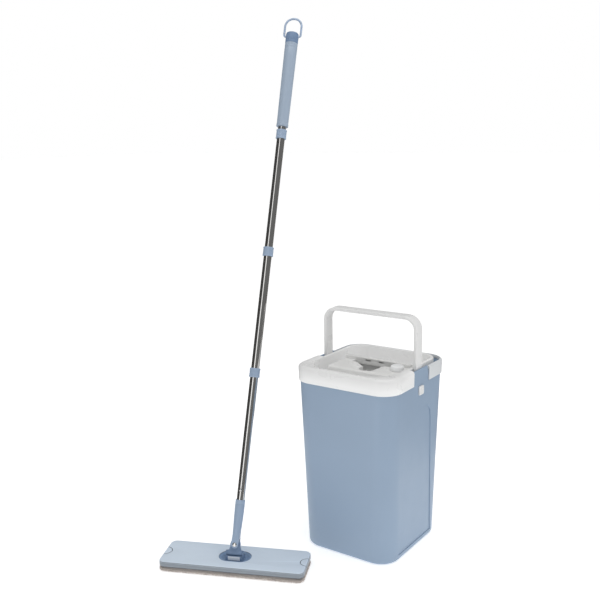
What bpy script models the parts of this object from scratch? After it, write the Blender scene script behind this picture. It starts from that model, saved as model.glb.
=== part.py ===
"""Flat mop standing beside its tall bucket, which holds a lift-out wringer insert.

Metres, +Z up. The origin is the centre of the bucket's flat base, -Y is the bucket's front
and +X its right side. The mop stands on the floor at the left front corner of the bucket.
"""

import bmesh
import bpy
from math import cos, pi, radians, sin
from mathutils import Vector

# ---- driving dimensions of the bucket ----
GAP = 0.0003
WALL = 0.0024
BASE_HALF_X = 0.1102
BASE_HALF_Y = 0.1176
BASE_CORNER = 0.045
TAPER_X = 0.0247
TAPER_Y = 0.0255
TAPER_CORNER = 0.0107
RIM_Z = 0.3995
EAR_Z = 0.4090
EAR_FRONT_Y = -0.0310
EAR_BACK_Y = 0.0350
FLOOR_THICKNESS = 0.0030
BASE_FILLET = 0.007

PIVOT_Y = 0.002
PIVOT_Z = 0.362
PIVOT_R = 0.0040
PIVOT_CAP = 0.0195
BAIL_OUTER_X = 0.1160
BAIL_THICKNESS = 0.0075
BAIL_WIDTH = 0.027
BAIL_TOP_Z = 0.5205
BAIL_CORNER = 0.030

COLLAR_LOW_Z = 0.3780
COLLAR_TOP_Z = 0.4125
COLLAR_PROUD = 0.0030
SKIRT_GAP = 0.0010
COLLAR_BACK_Y = -0.0330
REAR_COLLAR_LOW_Z = 0.3760
REAR_COLLAR_TOP_Z = 0.4075
REAR_COLLAR_FRONT_Y = 0.0370

# ---- driving dimensions of the wringer insert ----
RING_HALF_X = 0.1075
RING_HALF_Y = 0.1191
RING_CENTRE_Y = -0.0047
RING_TOP_Z = 0.4110
RING_LIP = 0.0073
RING_BOTTOM_Z = 0.3620
DECK_Z = 0.3770
DECK_THICKNESS = 0.0025
SLOT_X = 0.002
SLOT_HALF_X = 0.052
SLOT_FRONT_Y = -0.008
SLOT_BACK_Y = 0.0185
RIB_BACK_Y = 0.0272
NOTCH_R = 0.018
NOTCH_CENTRE_Y = -0.020
PLATFORM_TOP_Z = 0.4005
RIB_TOP_Z = 0.4077
CAGE_TOP_Z = DECK_Z - DECK_THICKNESS - GAP
CAGE_BOTTOM_Z = 0.030
CAGE_FRONT_Y = -0.018
CAGE_BACK_Y = 0.036
CAGE_NOTCH_Y = -0.044
CAGE_HALF_X = 0.054
CAGE_NOTCH_HALF_X = 0.021
CAGE_WALL = 0.002
FLANGE = 0.003
KNOB_X = 0.070
KNOB_Y = -0.010
KNOB_R = 0.0145
KNOB_TOP_Z = 0.4115
CAM_THROW = 0.003
CAM_R = 0.0066
CARRIER_Z = 0.356
ROLLER_Z = 0.360
ROLLER_Y = -0.0115
ROLLER_R = 0.0055
BLADE_TIP_Y = 0.0185

# ---- driving dimensions of the mop ----
MOP_X = -0.168
MOP_Y = -0.2817
MOP_YAW = 23.7
HEAD_LENGTH = 0.312
HEAD_WIDTH = 0.0955
HEAD_CORNER = 0.013
PAD_THICKNESS = 0.0080
STRIP_Z = 0.0083
STRIP_TOP_Z = 0.0105
PLATE_Z = 0.0108
PLATE_TOP_Z = 0.0225
SWING_Z = 0.0300
SWING_REST = 18.0
TILT_UP = 0.018
TILT_REST = 3.6
SOCKET_TOP = 0.0935
RING_PLACES = (0.3644, 0.6300, 0.8950)
GRIP_LOW = 0.9125
GRIP_TOP = 1.1050
CAP_TOP = 1.1295
LOOP_TOP = 1.1657
TUBE_R = 0.0088
TUBE_WALL = 0.0006
JOINT_RING_R = 0.0117
JOINT_RING_HALF = 0.0100
TUBE_START = 0.055
BUTTON_PLACE = 0.1145
TAB_GAP = 0.0006
DISH_Z = 0.0175
DISH_LENGTH = 0.0700
DISH_WIDTH = 0.0460

ARC_STEPS = 6


# ---- scene, materials and groups ----
def clear_scene():
    for item in list(bpy.data.objects):
        bpy.data.objects.remove(item)


def linear(channel):
    """One sRGB channel from 0 to 255, as a linear value."""
    value = channel / 255
    return value / 12.92 if value <= 0.04045 else ((value + 0.055) / 1.055) ** 2.4


def material(name, colour, roughness, metallic=0.0):
    found = bpy.data.materials.new(name)
    found.use_nodes = True
    shader = found.node_tree.nodes["Principled BSDF"]
    shader.inputs["Base Color"].default_value = (*(linear(c) for c in colour), 1.0)
    shader.inputs["Roughness"].default_value = roughness
    shader.inputs["Metallic"].default_value = metallic
    return found


def empty(name, place, rotation=(0.0, 0.0, 0.0), parent=None):
    """A group that carries a moving piece on its joint's axis."""
    holder = bpy.data.objects.new(name, None)
    holder.location = place
    holder.rotation_euler = rotation
    holder.parent = parent
    bpy.context.scene.collection.objects.link(holder)
    return holder


def add_object(name, mesh, look=None, parent=None):
    made = bpy.data.objects.new(name, mesh)
    bpy.context.scene.collection.objects.link(made)
    made.parent = parent
    if look:
        mesh.materials.append(look)
    return made


def finish_mesh(name, bm, look, parent=None):
    bmesh.ops.recalc_face_normals(bm, faces=bm.faces)
    mesh = bpy.data.meshes.new(name)
    bm.to_mesh(mesh)
    bm.free()
    mesh.shade_smooth()
    mesh.set_sharp_from_angle(angle=radians(32))
    return add_object(name, mesh, look, parent)


def helper(item):
    """Marks an object as a cutter or an addition, which is no piece of its own."""
    item.hide_render = True
    item.display_type = "WIRE"
    return item


def boolean(item, other, operation):
    step = item.modifiers.new(f"{operation.lower()}_{other.name}", "BOOLEAN")
    step.operation = operation
    step.solver = "EXACT"
    step.object = helper(other)


def cut(item, *cutters):
    for cutter in cutters:
        boolean(item, cutter, "DIFFERENCE")


def join(item, *additions):
    for addition in additions:
        boolean(item, addition, "UNION")


def round_edges(item, width, segments=2, angle=40):
    step = item.modifiers.new("rounded_edges", "BEVEL")
    step.width = width
    step.segments = segments
    step.limit_method = "ANGLE"
    step.angle_limit = radians(angle)
    return item


# ---- outlines and solids ----
def rounded_rect(half_x, half_y, radius, centre_x=0.0, centre_y=0.0, steps=ARC_STEPS):
    """Counter-clockwise outline of a rectangle with four round corners."""
    points = []
    for side_x, side_y, start in ((1, 1, 0), (-1, 1, 90), (-1, -1, 180), (1, -1, 270)):
        for step in range(steps + 1):
            angle = radians(start + 90 * step / steps)
            x = centre_x + side_x * (half_x - radius) + radius * cos(angle)
            y = centre_y + side_y * (half_y - radius) + radius * sin(angle)
            points.append((x, y))
    return points


def circle(radius, steps=32, centre_x=0.0, centre_y=0.0):
    turns = [2 * pi * step / steps for step in range(steps)]
    return [(centre_x + radius * cos(t), centre_y + radius * sin(t)) for t in turns]


def loft(name, levels, look=None, closed=False, parent=None, axis="Z"):
    """Skin through outlines with the same number of points, each given as (outline, height)."""
    bm = bmesh.new()
    turn = {
        "Z": lambda a, b, c: (a, b, c),
        "X": lambda a, b, c: (c, a, b),
        "Y": lambda a, b, c: (b, c, a),
    }[axis]
    rows = [[bm.verts.new(turn(a, b, c)) for a, b in outline] for outline, c in levels]
    pairs = list(zip(rows, rows[1:]))
    if closed:
        pairs.append((rows[-1], rows[0]))
    for low, high in pairs:
        count = len(low)
        for i in range(count):
            j = (i + 1) % count
            bm.faces.new((low[i], low[j], high[j], high[i]))
    if not closed:
        bm.faces.new(list(reversed(rows[0])))
        bm.faces.new(rows[-1])
    return finish_mesh(name, bm, look, parent)


def prism(name, outline, low, high, look=None, parent=None, axis="Z"):
    return loft(name, [(outline, low), (outline, high)], look, False, parent, axis)


def block(name, low, high, look=None, parent=None):
    outline = [(low[0], low[1]), (high[0], low[1]), (high[0], high[1]), (low[0], high[1])]
    return prism(name, outline, low[2], high[2], look, parent)


def turned(name, profile, look=None, parent=None, steps=32, axis="Z", centre=(0.0, 0.0)):
    """Solid of revolution about a line along axis, from (radius, height) pairs, lowest first."""
    levels = [(circle(radius, steps, *centre), height) for radius, height in profile]
    return loft(name, levels, look, False, parent, axis)


def tube(name, outer, inner, low, high, look=None, parent=None, steps=32):
    levels = [(outer, low), (outer, high), (inner, high), (inner, low)]
    rings = [(circle(radius, steps), height) for radius, height in levels]
    return loft(name, rings, look, True, parent)


def arc(centre_a, centre_b, radius, start, end, steps=4):
    """Points on an arc, in degrees."""
    angles = [radians(start + (end - start) * step / steps) for step in range(steps + 1)]
    return [(centre_a + radius * cos(t), centre_b + radius * sin(t)) for t in angles]


def mesh_of_parts(name, parts):
    """One helper object from several separate solids."""
    bm = bmesh.new()
    for part in parts:
        part.data.transform(part.matrix_basis)
        bm.from_mesh(part.data)
        bpy.data.objects.remove(part)
    return helper(finish_mesh(name, bm, None))


# ---- bucket ----
def tub(height, inset=0.0):
    """Outline of the tapered bucket at this height, moved in by inset."""
    return rounded_rect(
        BASE_HALF_X + TAPER_X * height - inset,
        BASE_HALF_Y + TAPER_Y * height - inset,
        BASE_CORNER - TAPER_CORNER * height - inset,
    )


def tub_half_x(height):
    return BASE_HALF_X + TAPER_X * height


def side_panel_cutter(side):
    """Shallow recess on one side wall: it widens downwards and has an arched top."""
    depth = 0.0010
    bottom_z, top_z = 0.012, 0.322
    low_half, high_half, corner = 0.076, 0.054, 0.030
    right_side = arc(high_half - corner, top_z - corner, corner, 0, 90, 6)
    left_side = [(-y, z) for y, z in reversed(right_side)]
    outline = [(low_half, bottom_z), *right_side, *left_side, (-low_half, bottom_z)]
    bm = bmesh.new()
    inner = [bm.verts.new((side * (tub_half_x(z) - depth), y, z)) for y, z in outline]
    outer = [bm.verts.new((side * 0.140, y, z)) for y, z in outline]
    for i in range(len(outline)):
        j = (i + 1) % len(outline)
        bm.faces.new((inner[i], inner[j], outer[j], outer[i]))
    bm.faces.new(inner)
    bm.faces.new(outer)
    return finish_mesh(f"side_panel_cutter_{side}", bm, None)


def ledge_gusset(side_x, y):
    """Rib inside the wall, which the insert's skirt rests on."""
    top = RING_BOTTOM_Z - GAP
    near, far = side_x * 0.0995, side_x * 0.1172
    outline = [(top, near), (top, far), (0.325, side_x * 0.1166)]
    return prism(f"gusset_{side_x}_{y}", outline, y - 0.0015, y + 0.0015, axis="Y")


def make_bucket(look):
    outside = []
    for step in range(5):
        t = radians(90 * step / 4)
        height = BASE_FILLET * (1 - cos(t))
        outside.append((tub(height, BASE_FILLET * (1 - sin(t))), height))
    inner_fillet = BASE_FILLET - WALL
    inside = [
        (tub(EAR_Z, WALL), EAR_Z),
        (tub(FLOOR_THICKNESS + inner_fillet, WALL), FLOOR_THICKNESS + inner_fillet),
        (tub(FLOOR_THICKNESS, WALL + inner_fillet * 0.3), FLOOR_THICKNESS + inner_fillet * 0.3),
        (tub(FLOOR_THICKNESS, WALL + inner_fillet), FLOOR_THICKNESS),
    ]
    shell = loft("bucket_shell", [*outside, (tub(EAR_Z), EAR_Z), *inside], look)
    front_cutter = block("rim_front_cutter", (-0.15, -0.15, RIM_Z), (0.15, EAR_FRONT_Y, 0.42))
    back_cutter = block("rim_back_cutter", (-0.15, EAR_BACK_Y, RIM_Z), (0.15, 0.15, 0.42))
    pivot_cutter = prism("pivot_cutter", circle(PIVOT_R + GAP, 24, PIVOT_Y, PIVOT_Z), -0.13, 0.13, axis="X")
    cut(shell, front_cutter, back_cutter, pivot_cutter, side_panel_cutter(1), side_panel_cutter(-1))
    gussets = [ledge_gusset(side, y) for side in (-1, 1) for y in (-0.075, 0.068)]
    join(shell, mesh_of_parts("ledge_gussets", gussets))


def make_rear_collar(look):
    """Trim that hooks over the back half of the rim."""
    crown = 0.005
    turn = [radians(90 * step / 3) for step in range(4)]
    outer = [(tub(REAR_COLLAR_LOW_Z, -COLLAR_PROUD), REAR_COLLAR_LOW_Z)]
    for t in turn:
        height = REAR_COLLAR_TOP_Z - crown * (1 - sin(t))
        outer.append((tub(0.40, -COLLAR_PROUD + crown * (1 - cos(t))), height))
    inner = [
        (tub(0.40, 0.0022), REAR_COLLAR_TOP_Z),
        (tub(0.40, 0.0022), RIM_Z + GAP),
        (tub(0.40, -0.0006), RIM_Z + GAP),
        (tub(REAR_COLLAR_LOW_Z, -0.0005), REAR_COLLAR_LOW_Z),
    ]
    collar = loft("rear_collar", [*outer, *inner], look, closed=True)
    keep = block("rear_collar_span", (-0.15, REAR_COLLAR_FRONT_Y, 0.35), (0.15, 0.16, 0.43))
    boolean(collar, keep, "INTERSECT")


def make_pivot_cap(side, look):
    """Square cap outside the ear, whose shank passes through the ear and the bail's leg."""
    name = "pivot_cap_right" if side > 0 else "pivot_cap_left"
    face = tub_half_x(PIVOT_Z) + 0.0006
    ends = sorted((side * face, side * (face + 0.0036)))
    half = PIVOT_CAP / 2
    outline = rounded_rect(half, half, 0.0025, PIVOT_Y, PIVOT_Z, 3)
    head = prism(name, outline, *ends, look=look, axis="X")
    round_edges(head, 0.0007, 2)
    shank_ends = sorted((side * 0.1088, side * (face + 0.002)))
    join(head, prism(f"{name}_shank", circle(PIVOT_R, 24, PIVOT_Y, PIVOT_Z), *shank_ends, axis="X"))


def make_bail(look, parent):
    """Flat strap bent into a U, upright, with a round foot on each pivot."""
    outer_x, inner_x = BAIL_OUTER_X, BAIL_OUTER_X - BAIL_THICKNESS
    outer_r, inner_r = BAIL_CORNER, BAIL_CORNER - BAIL_THICKNESS
    top = BAIL_TOP_Z - PIVOT_Z
    outer = arc(outer_x - outer_r, top - outer_r, outer_r, 0, 90, 8)
    inner = arc(inner_x - inner_r, top - BAIL_THICKNESS - inner_r, inner_r, 90, 0, 8)
    right = [(outer_x, 0.0), *outer]
    left = [(-x, z) for x, z in reversed(right)]
    inner_left = [(-x, z) for x, z in reversed([*inner, (inner_x, 0.0)])]
    outline = [*right, *left, *inner_left, *inner, (inner_x, 0.0)]
    outline = [(z, x) for x, z in outline]
    half = BAIL_WIDTH / 2
    bail = prism("bail_handle", outline, -half, half, look, parent, axis="Y")
    round_edges(bail, 0.0022, 2, 60)
    feet = []
    for side in (-1, 1):
        ends = sorted((side * inner_x, side * outer_x))
        feet.append(prism(f"foot_{side}", circle(half, 32), *ends, axis="X"))
    feet_object = mesh_of_parts("bail_feet", feet)
    feet_object.parent = parent
    join(bail, feet_object)
    hole = prism("bail_hole_cutter", circle(PIVOT_R + GAP, 24), -0.13, 0.13, axis="X")
    hole.parent = parent
    cut(bail, hole)


# ---- wringer insert ----
def ring(inset):
    return rounded_rect(
        RING_HALF_X - inset, RING_HALF_Y - inset, 0.036 - inset * 0.4, 0.0, RING_CENTRE_Y
    )


def opening(outward=0.0):
    """Inner edge of the front collar's deck, with its large corner radius."""
    return rounded_rect(0.0995 + outward, 0.1111 + outward, 0.056 + outward, 0.0, RING_CENTRE_Y)


def collar_levels(underside, inner_wall):
    """Section of the front collar, from its lower outside edge over the crown to its inside."""
    crown_in, crown_down = 0.0080, 0.0070
    shoulder = COLLAR_TOP_Z - crown_down
    levels = [(tub(COLLAR_LOW_Z, -COLLAR_PROUD), COLLAR_LOW_Z)]
    for step in range(6):
        t = radians(90 * step / 5)
        inset = -COLLAR_PROUD + crown_in * (1 - cos(t))
        levels.append((tub(0.40, inset), shoulder + crown_down * sin(t)))
    levels.append((opening(0.0012), COLLAR_TOP_Z - 0.0006))
    levels.append((opening(), COLLAR_TOP_Z - 0.0020))
    levels.append((opening(), RIM_Z + 0.0008))
    if inner_wall:
        levels.append((opening(inner_wall), RIM_Z + 0.0008))
        levels.append((opening(inner_wall), underside))
    levels.append((tub(0.40, -SKIRT_GAP), underside))
    levels.append((tub(COLLAR_LOW_Z, -SKIRT_GAP), COLLAR_LOW_Z))
    return levels


def collar_solid(name, look=None):
    """Front collar with its deck and the webs that close its two ends."""
    skin = 0.0024
    collar = loft(name, collar_levels(COLLAR_TOP_Z - 0.0045, skin), look, closed=True)
    front_span = block(f"{name}_span", (-0.15, -0.16, 0.35), (0.15, COLLAR_BACK_Y, 0.43))
    boolean(collar, front_span, "INTERSECT")
    end_wall = loft(f"{name}_end_wall", collar_levels(RIM_Z + 0.0008, 0.0), closed=True)
    low_end = (-0.15, COLLAR_BACK_Y - skin, RIM_Z + 0.0008)
    boolean(end_wall, block(f"{name}_end_span", low_end, (0.15, COLLAR_BACK_Y, 0.43)), "INTERSECT")
    join(collar, end_wall)
    return collar


def make_front_collar(look):
    """The part of the front collar outside the basin ring."""
    collar = collar_solid("front_collar", look)
    cut(collar, prism("ring_clearance", ring(-GAP), 0.35, 0.43))


def make_tray(look):
    """Lift-out basin: its ring with a rolled lip, its floor, and the deck inside the front corners."""
    skin = 0.0024
    levels = [
        (ring(0.0), RING_BOTTOM_Z),
        (ring(0.0), RING_TOP_Z - 0.0020),
        (ring(0.0006), RING_TOP_Z - 0.0006),
        (ring(0.0020), RING_TOP_Z),
        (ring(RING_LIP - 0.0020), RING_TOP_Z),
        (ring(RING_LIP - 0.0006), RING_TOP_Z - 0.0006),
        (ring(RING_LIP), RING_TOP_Z - 0.0020),
        (ring(RING_LIP), DECK_Z - DECK_THICKNESS),
        (ring(RING_LIP - skin), DECK_Z - DECK_THICKNESS),
        (ring(RING_LIP - skin), RING_TOP_Z - skin),
        (ring(skin), RING_TOP_Z - skin),
        (ring(skin), RING_BOTTOM_Z),
    ]
    tray = loft("wringer_tray", levels, look, closed=True)
    floor = prism("tray_floor", ring(RING_LIP - 0.0004), DECK_Z - DECK_THICKNESS, DECK_Z)
    deck = collar_solid("inner_deck")
    boolean(deck, prism("ring_inside", ring(0.0020), 0.35, 0.43), "INTERSECT")
    join(tray, floor, deck)
    floor_slot = slot_way("floor_slot", CAGE_HALF_X, SLOT_BACK_Y + 0.0012, CAGE_FRONT_Y, 0.0, 0.36, 0.39)
    holes = [shaft_hole("floor_shaft_hole")]
    holes += [screw_hole(f"floor_screw_hole_{i}", x, y) for i, (x, y) in enumerate(screw_places())]
    cut(tray, floor_slot, mesh_of_parts("floor_holes", holes))


def slot_way(name, half_x, back_y, front_y, wall, low, high):
    """T-shaped way through the insert: a wide slot and a notch for the pole in front of it."""
    notch_half = CAGE_NOTCH_HALF_X + wall
    notch_y = CAGE_NOTCH_Y - wall
    left, right = SLOT_X - half_x - wall, SLOT_X + half_x + wall
    outline = [
        (left, front_y - wall),
        (SLOT_X - notch_half, front_y - wall),
        (SLOT_X - notch_half, notch_y),
        (SLOT_X + notch_half, notch_y),
        (SLOT_X + notch_half, front_y - wall),
        (right, front_y - wall),
        (right, back_y + wall),
        (left, back_y + wall),
    ]
    return prism(name, outline, low, high)


def screw_places():
    return [(SLOT_X + side * 0.0615, y) for side in (-1, 1) for y in (-0.026, 0.0405)]


def platform_outline(inset):
    """Section of the raised housing in front of the slot, across its width."""
    front, low = -0.057 + inset, DECK_Z + GAP - 0.01 * (inset > 0)
    back, top = SLOT_BACK_Y - GAP - inset, PLATFORM_TOP_Z - inset
    corner = 0.004 - inset * 0.5
    nose = arc(front + corner, top - corner, corner, 180, 90, 4)
    return [(back, low), (back, top), *reversed(nose), (front, low)]


def slot_outline(wall, back_y):
    """The slot with the pole's round notch in front of it, seen from above."""
    half, radius = SLOT_HALF_X + wall, NOTCH_R + wall
    front = SLOT_FRONT_Y - wall
    notch = arc(SLOT_X, NOTCH_CENTRE_Y, radius, 180, 360, 12)
    outline = [(SLOT_X - half, front), (SLOT_X - radius, front), *notch, (SLOT_X + radius, front)]
    return [*outline, (SLOT_X + half, front), (SLOT_X + half, back_y), (SLOT_X - half, back_y)]


def make_lip(side):
    """Raised edge in front of the slot on one side, which runs down into the pole's notch."""
    levels = []
    ends = ((0.0190, 0.0008), (0.0250, 0.0026), (0.0320, 0.0040), (SLOT_HALF_X + 0.0010, 0.0040))
    for x, height in ends:
        crest = PLATFORM_TOP_Z + height
        back, front, low = SLOT_FRONT_Y, SLOT_FRONT_Y - 0.0075, PLATFORM_TOP_Z - 0.0010
        section = [(back, low), (back, crest - 0.0007), (back - 0.0007, crest), (front + 0.0040, crest)]
        levels.append(([*section, (front, low + 0.0010), (front, low)], SLOT_X + side * x))
    return loft(f"lip_{side}", levels[::side], axis="X")


def make_platform(look):
    """Raised housing with the slot's sides and front, the pole's notch and the knob's place."""
    left, right, skin = -0.076, 0.0870, 0.0024
    platform = prism("slot_platform", platform_outline(0.0), left, right, look, axis="X")
    hollow = prism("platform_hollow", platform_outline(skin), left + skin, right - skin, axis="X")
    cut(hollow, prism("slot_walls", slot_outline(0.0018, 0.03), 0.35, 0.43))
    slot = prism("platform_slot_cutter", slot_outline(0.0, 0.03), 0.36, 0.42)
    cut(platform, hollow, slot, shaft_hole("platform_shaft_hole"))
    join(platform, make_lip(-1), make_lip(1))


def make_rib(look):
    """Hollow bar behind the slot, open low down at its front, with two oval windows above that."""
    left, right, skin, low = -0.076, 0.0870, 0.0018, DECK_Z + GAP
    front, back, top = SLOT_BACK_Y, RIB_BACK_Y, RIB_TOP_Z
    outline = [(front, low), (front, top - 0.0012), (front + 0.0012, top), (back - 0.0025, top)]
    outline += [(back, top - 0.0030), (back, low)]
    rib = prism("slot_rib", outline, left, right, look, axis="X")
    inner = [(front + skin, low - 0.01), (front + skin, top - skin), (back - skin - 0.0010, top - skin)]
    inner += [(back - skin, top - skin - 0.0020), (back - skin, low - 0.01)]
    hollow = prism("rib_hollow", inner, left + skin, right - skin, axis="X")
    windows = []
    for x in (SLOT_X - 0.0205, SLOT_X + 0.0125):
        shape = rounded_rect(0.0021, 0.0070, 0.0020, 0.4022, x, 4)
        windows.append(prism(f"window_{x}", [(z, y) for z, y in shape], 0.015, front + 0.0030, axis="Y"))
    open_low, open_high = (SLOT_X - 0.046, 0.015, 0.370), (SLOT_X + 0.046, front + 0.0030, 0.3925)
    windows.append(block("squeegee_way", open_low, open_high))
    cut(rib, hollow, mesh_of_parts("rib_windows", windows))


def water_slits(name, footprints):
    """Three rows of upright slits through one wall, each given as centre and half sizes."""
    slits = []
    for number, (x, y, half_x, half_y) in enumerate(footprints):
        for low, high in ((0.045, 0.135), (0.150, 0.240), (0.255, 0.330)):
            corners = (x - half_x, y - half_y, low), (x + half_x, y + half_y, high)
            slits.append(block(f"slit_{number}_{low}", *corners))
    return mesh_of_parts(name, slits)


def make_cage_flange(look):
    """Plate under the basin floor, which carries the guide panels."""
    outline = rounded_rect(0.0730, 0.0480, 0.006, 0.0070, -0.0010, 4)
    flange = prism("cage_flange", outline, CAGE_TOP_Z - FLANGE, CAGE_TOP_Z, look)
    size = (CAGE_HALF_X, CAGE_BACK_Y, CAGE_FRONT_Y)
    way = slot_way("flange_way", *size, 0.0, CAGE_TOP_Z - 0.01, CAGE_TOP_Z + 0.01)
    holes = [shaft_hole("cage_shaft_hole")]
    holes += [screw_hole(f"cage_screw_hole_{i}", x, y) for i, (x, y) in enumerate(screw_places())]
    cut(flange, way, mesh_of_parts("cage_holes", holes))


def make_cage(look):
    """Guide under the slot, which the mop head slides down: four panels round a T-shaped way."""
    low, high, wall, slit = CAGE_BOTTOM_Z, CAGE_TOP_Z - FLANGE - GAP, CAGE_WALL, 0.002
    back, front, notch = CAGE_BACK_Y, CAGE_FRONT_Y, CAGE_NOTCH_Y
    outer = CAGE_HALF_X + wall
    rear_low = (SLOT_X - outer, back, low)
    rear = block("cage_rear_panel", rear_low, (SLOT_X + outer, back + wall, high), look)
    rear_slits = [(SLOT_X + 0.014 * step, back + wall / 2, slit, wall) for step in range(-3, 4)]
    cut(rear, water_slits("rear_slits", rear_slits))
    inner, notch_outer = CAGE_NOTCH_HALF_X, CAGE_NOTCH_HALF_X + wall
    axles = prism("axle_holes", circle(0.0018, 16, ROLLER_Y, ROLLER_Z), -0.07, 0.07, axis="X")
    for side, name in ((-1, "left"), (1, "right")):
        corner = [(outer, front - wall), (notch_outer + GAP, front - wall), (notch_outer + GAP, front)]
        corner += [(CAGE_HALF_X, front), (CAGE_HALF_X, back - GAP), (outer, back - GAP)]
        outline = [(SLOT_X + side * x, y) for x, y in corner]
        guide = prism(f"cage_guide_{name}", outline, low, high, look)
        slits = [(SLOT_X + side * (CAGE_HALF_X + wall / 2), y, wall, slit) for y in (-0.004, 0.009, 0.022)]
        slits += [(SLOT_X + side * x, front - wall / 2, slit, wall) for x in (0.032, 0.046)]
        cut(guide, water_slits(f"guide_slits_{name}", slits), axles)
        if side > 0:
            way_low = (SLOT_X + CAGE_HALF_X - 0.001, 0.0225, CARRIER_Z - 0.0055)
            cut(guide, block("carrier_way", way_low, (SLOT_X + outer + 0.001, 0.04, CARRIER_Z + 0.0055)))
    channel = [(-notch_outer, front), (-notch_outer, notch - wall), (notch_outer, notch - wall)]
    channel += [(notch_outer, front), (inner, front), (inner, notch), (-inner, notch), (-inner, front)]
    pole_channel = prism("cage_pole_channel", [(SLOT_X + x, y) for x, y in channel], low, high, look)
    cheeks = []
    for side in (-1, 1):
        xs = sorted((SLOT_X + side * inner, SLOT_X + side * notch_outer))
        cheeks.append(block(f"cheek_{side}", (xs[0], -0.0195, 0.352), (xs[1], -0.0050, 0.368)))
    join(pole_channel, mesh_of_parts("roller_cheeks", cheeks))
    channel_slits = [(SLOT_X + x, notch - wall / 2, slit, wall) for x in (-0.008, 0.008)]
    cut(pole_channel, water_slits("channel_slits", channel_slits), axles)


def shaft_hole(name):
    return turned(name, [(0.0036, 0.36), (0.0036, 0.42)], centre=(KNOB_X, KNOB_Y))


def screw_hole(name, x, y):
    return turned(name, [(0.0018, 0.36), (0.0018, 0.39)], steps=16, centre=(x, y))


def make_screws(look):
    """Pan-head screws from below, through the cage's flange into the basin floor."""
    head_top = CAGE_TOP_Z - FLANGE - GAP
    for number, place in enumerate(screw_places(), 1):
        profile = [
            (0.0022, head_top - 0.0024),
            (0.0032, head_top - 0.0014),
            (0.0032, head_top),
            (0.0015, head_top),
            (0.0015, DECK_Z - 0.0002),
        ]
        turned(f"cage_screw_{number}", profile, look, steps=16, centre=place)


def make_rollers(look, steel):
    """Two short rollers at the slot's front edge, one on each side of the pole's notch."""
    for side, name in ((-1, "left"), (1, "right")):
        ends = sorted((SLOT_X + side * 0.0235, SLOT_X + side * 0.0530))
        pose = empty(f"roller_axis_{name}", (0.0, ROLLER_Y, ROLLER_Z))
        roller = prism(f"guide_roller_{name}", circle(ROLLER_R, 24), *ends, look, pose, "X")
        round_edges(roller, 0.0006, 1)
        bore = prism(f"roller_bore_{name}", circle(0.0018, 16), -0.07, 0.07, axis="X")
        bore.parent = pose
        cut(roller, bore)
        axle_ends = sorted((SLOT_X + side * 0.0212, SLOT_X + side * 0.0558))
        circle_at = circle(0.0015, 16, ROLLER_Y, ROLLER_Z)
        prism(f"roller_axle_{name}", circle_at, *axle_ends, steel, axis="X")


def make_squeegee(look, rubber):
    """Carrier behind the slot with its rubber blade, and the arm that the knob's cam moves."""
    bar_front, bar_back = 0.0268, 0.0348
    low, high = CARRIER_Z - 0.0040, CARRIER_Z + 0.0040
    left = SLOT_X - 0.052
    arm_left, arm_right, arm_front = 0.0588, 0.0835, KNOB_Y - CAM_R - 0.0045
    carrier = block("squeegee_carrier", (left, bar_front, low), (arm_left + 0.002, bar_back, high), look)
    arm_low, arm_high = CARRIER_Z - 0.0025, CARRIER_Z + 0.0025
    arm = block("cam_arm", (arm_left, arm_front, arm_low), (arm_right, bar_back, arm_high))
    join(carrier, arm)
    window_y = CAM_R + 0.0005
    window_x = (KNOB_X + CAM_THROW * cos(radians(60)) - window_y, KNOB_X + CAM_THROW + window_y)
    low_corner = (window_x[0], KNOB_Y - window_y, arm_low - 0.002)
    window = block("cam_window", low_corner, (window_x[1], KNOB_Y + window_y, arm_high + 0.002))
    groove_low = (left - 0.01, bar_front - 0.002, CARRIER_Z - 0.0015)
    groove = block("blade_groove", groove_low, (SLOT_X + 0.0515, bar_front + 0.0040, CARRIER_Z + 0.0015))
    cut(carrier, window, groove)
    blade_outline = [
        (bar_front + 0.0036, CARRIER_Z - 0.0012),
        (bar_front + 0.0036, CARRIER_Z + 0.0012),
        (0.0210, CARRIER_Z + 0.0012),
        (BLADE_TIP_Y, CARRIER_Z + 0.0004),
        (BLADE_TIP_Y, CARRIER_Z - 0.0004),
        (0.0210, CARRIER_Z - 0.0012),
    ]
    prism("squeegee_blade", blade_outline, SLOT_X - 0.0505, SLOT_X + 0.0505, rubber, axis="X")


def make_knob(look, steel):
    pose = empty("knob_axis", (KNOB_X, KNOB_Y, 0.0))
    low = PLATFORM_TOP_Z + GAP
    profile = [(KNOB_R - 0.0006, low), (KNOB_R, low + 0.0006), (KNOB_R, KNOB_TOP_Z - 0.0025)]
    profile += [(KNOB_R - 0.0008, KNOB_TOP_Z - 0.0007), (KNOB_R - 0.0025, KNOB_TOP_Z)]
    knob = turned("selector_knob", profile, look, pose, 32)
    socket = turned("knob_socket", [(0.0033, low - 0.01), (0.0033, KNOB_TOP_Z - 0.0020)], parent=pose)
    cut(knob, socket)
    shaft_low, disc_half = CARRIER_Z - 0.005, 0.003
    shaft = turned("knob_shaft", [(0.0030, shaft_low), (0.0030, KNOB_TOP_Z - 0.0024)], steel, pose)
    disc_levels = [(CAM_R, CARRIER_Z - disc_half), (CAM_R, CARRIER_Z + disc_half)]
    disc = turned("cam_disc", disc_levels, parent=pose, centre=(CAM_THROW, 0.0))
    join(shaft, disc)


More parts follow.
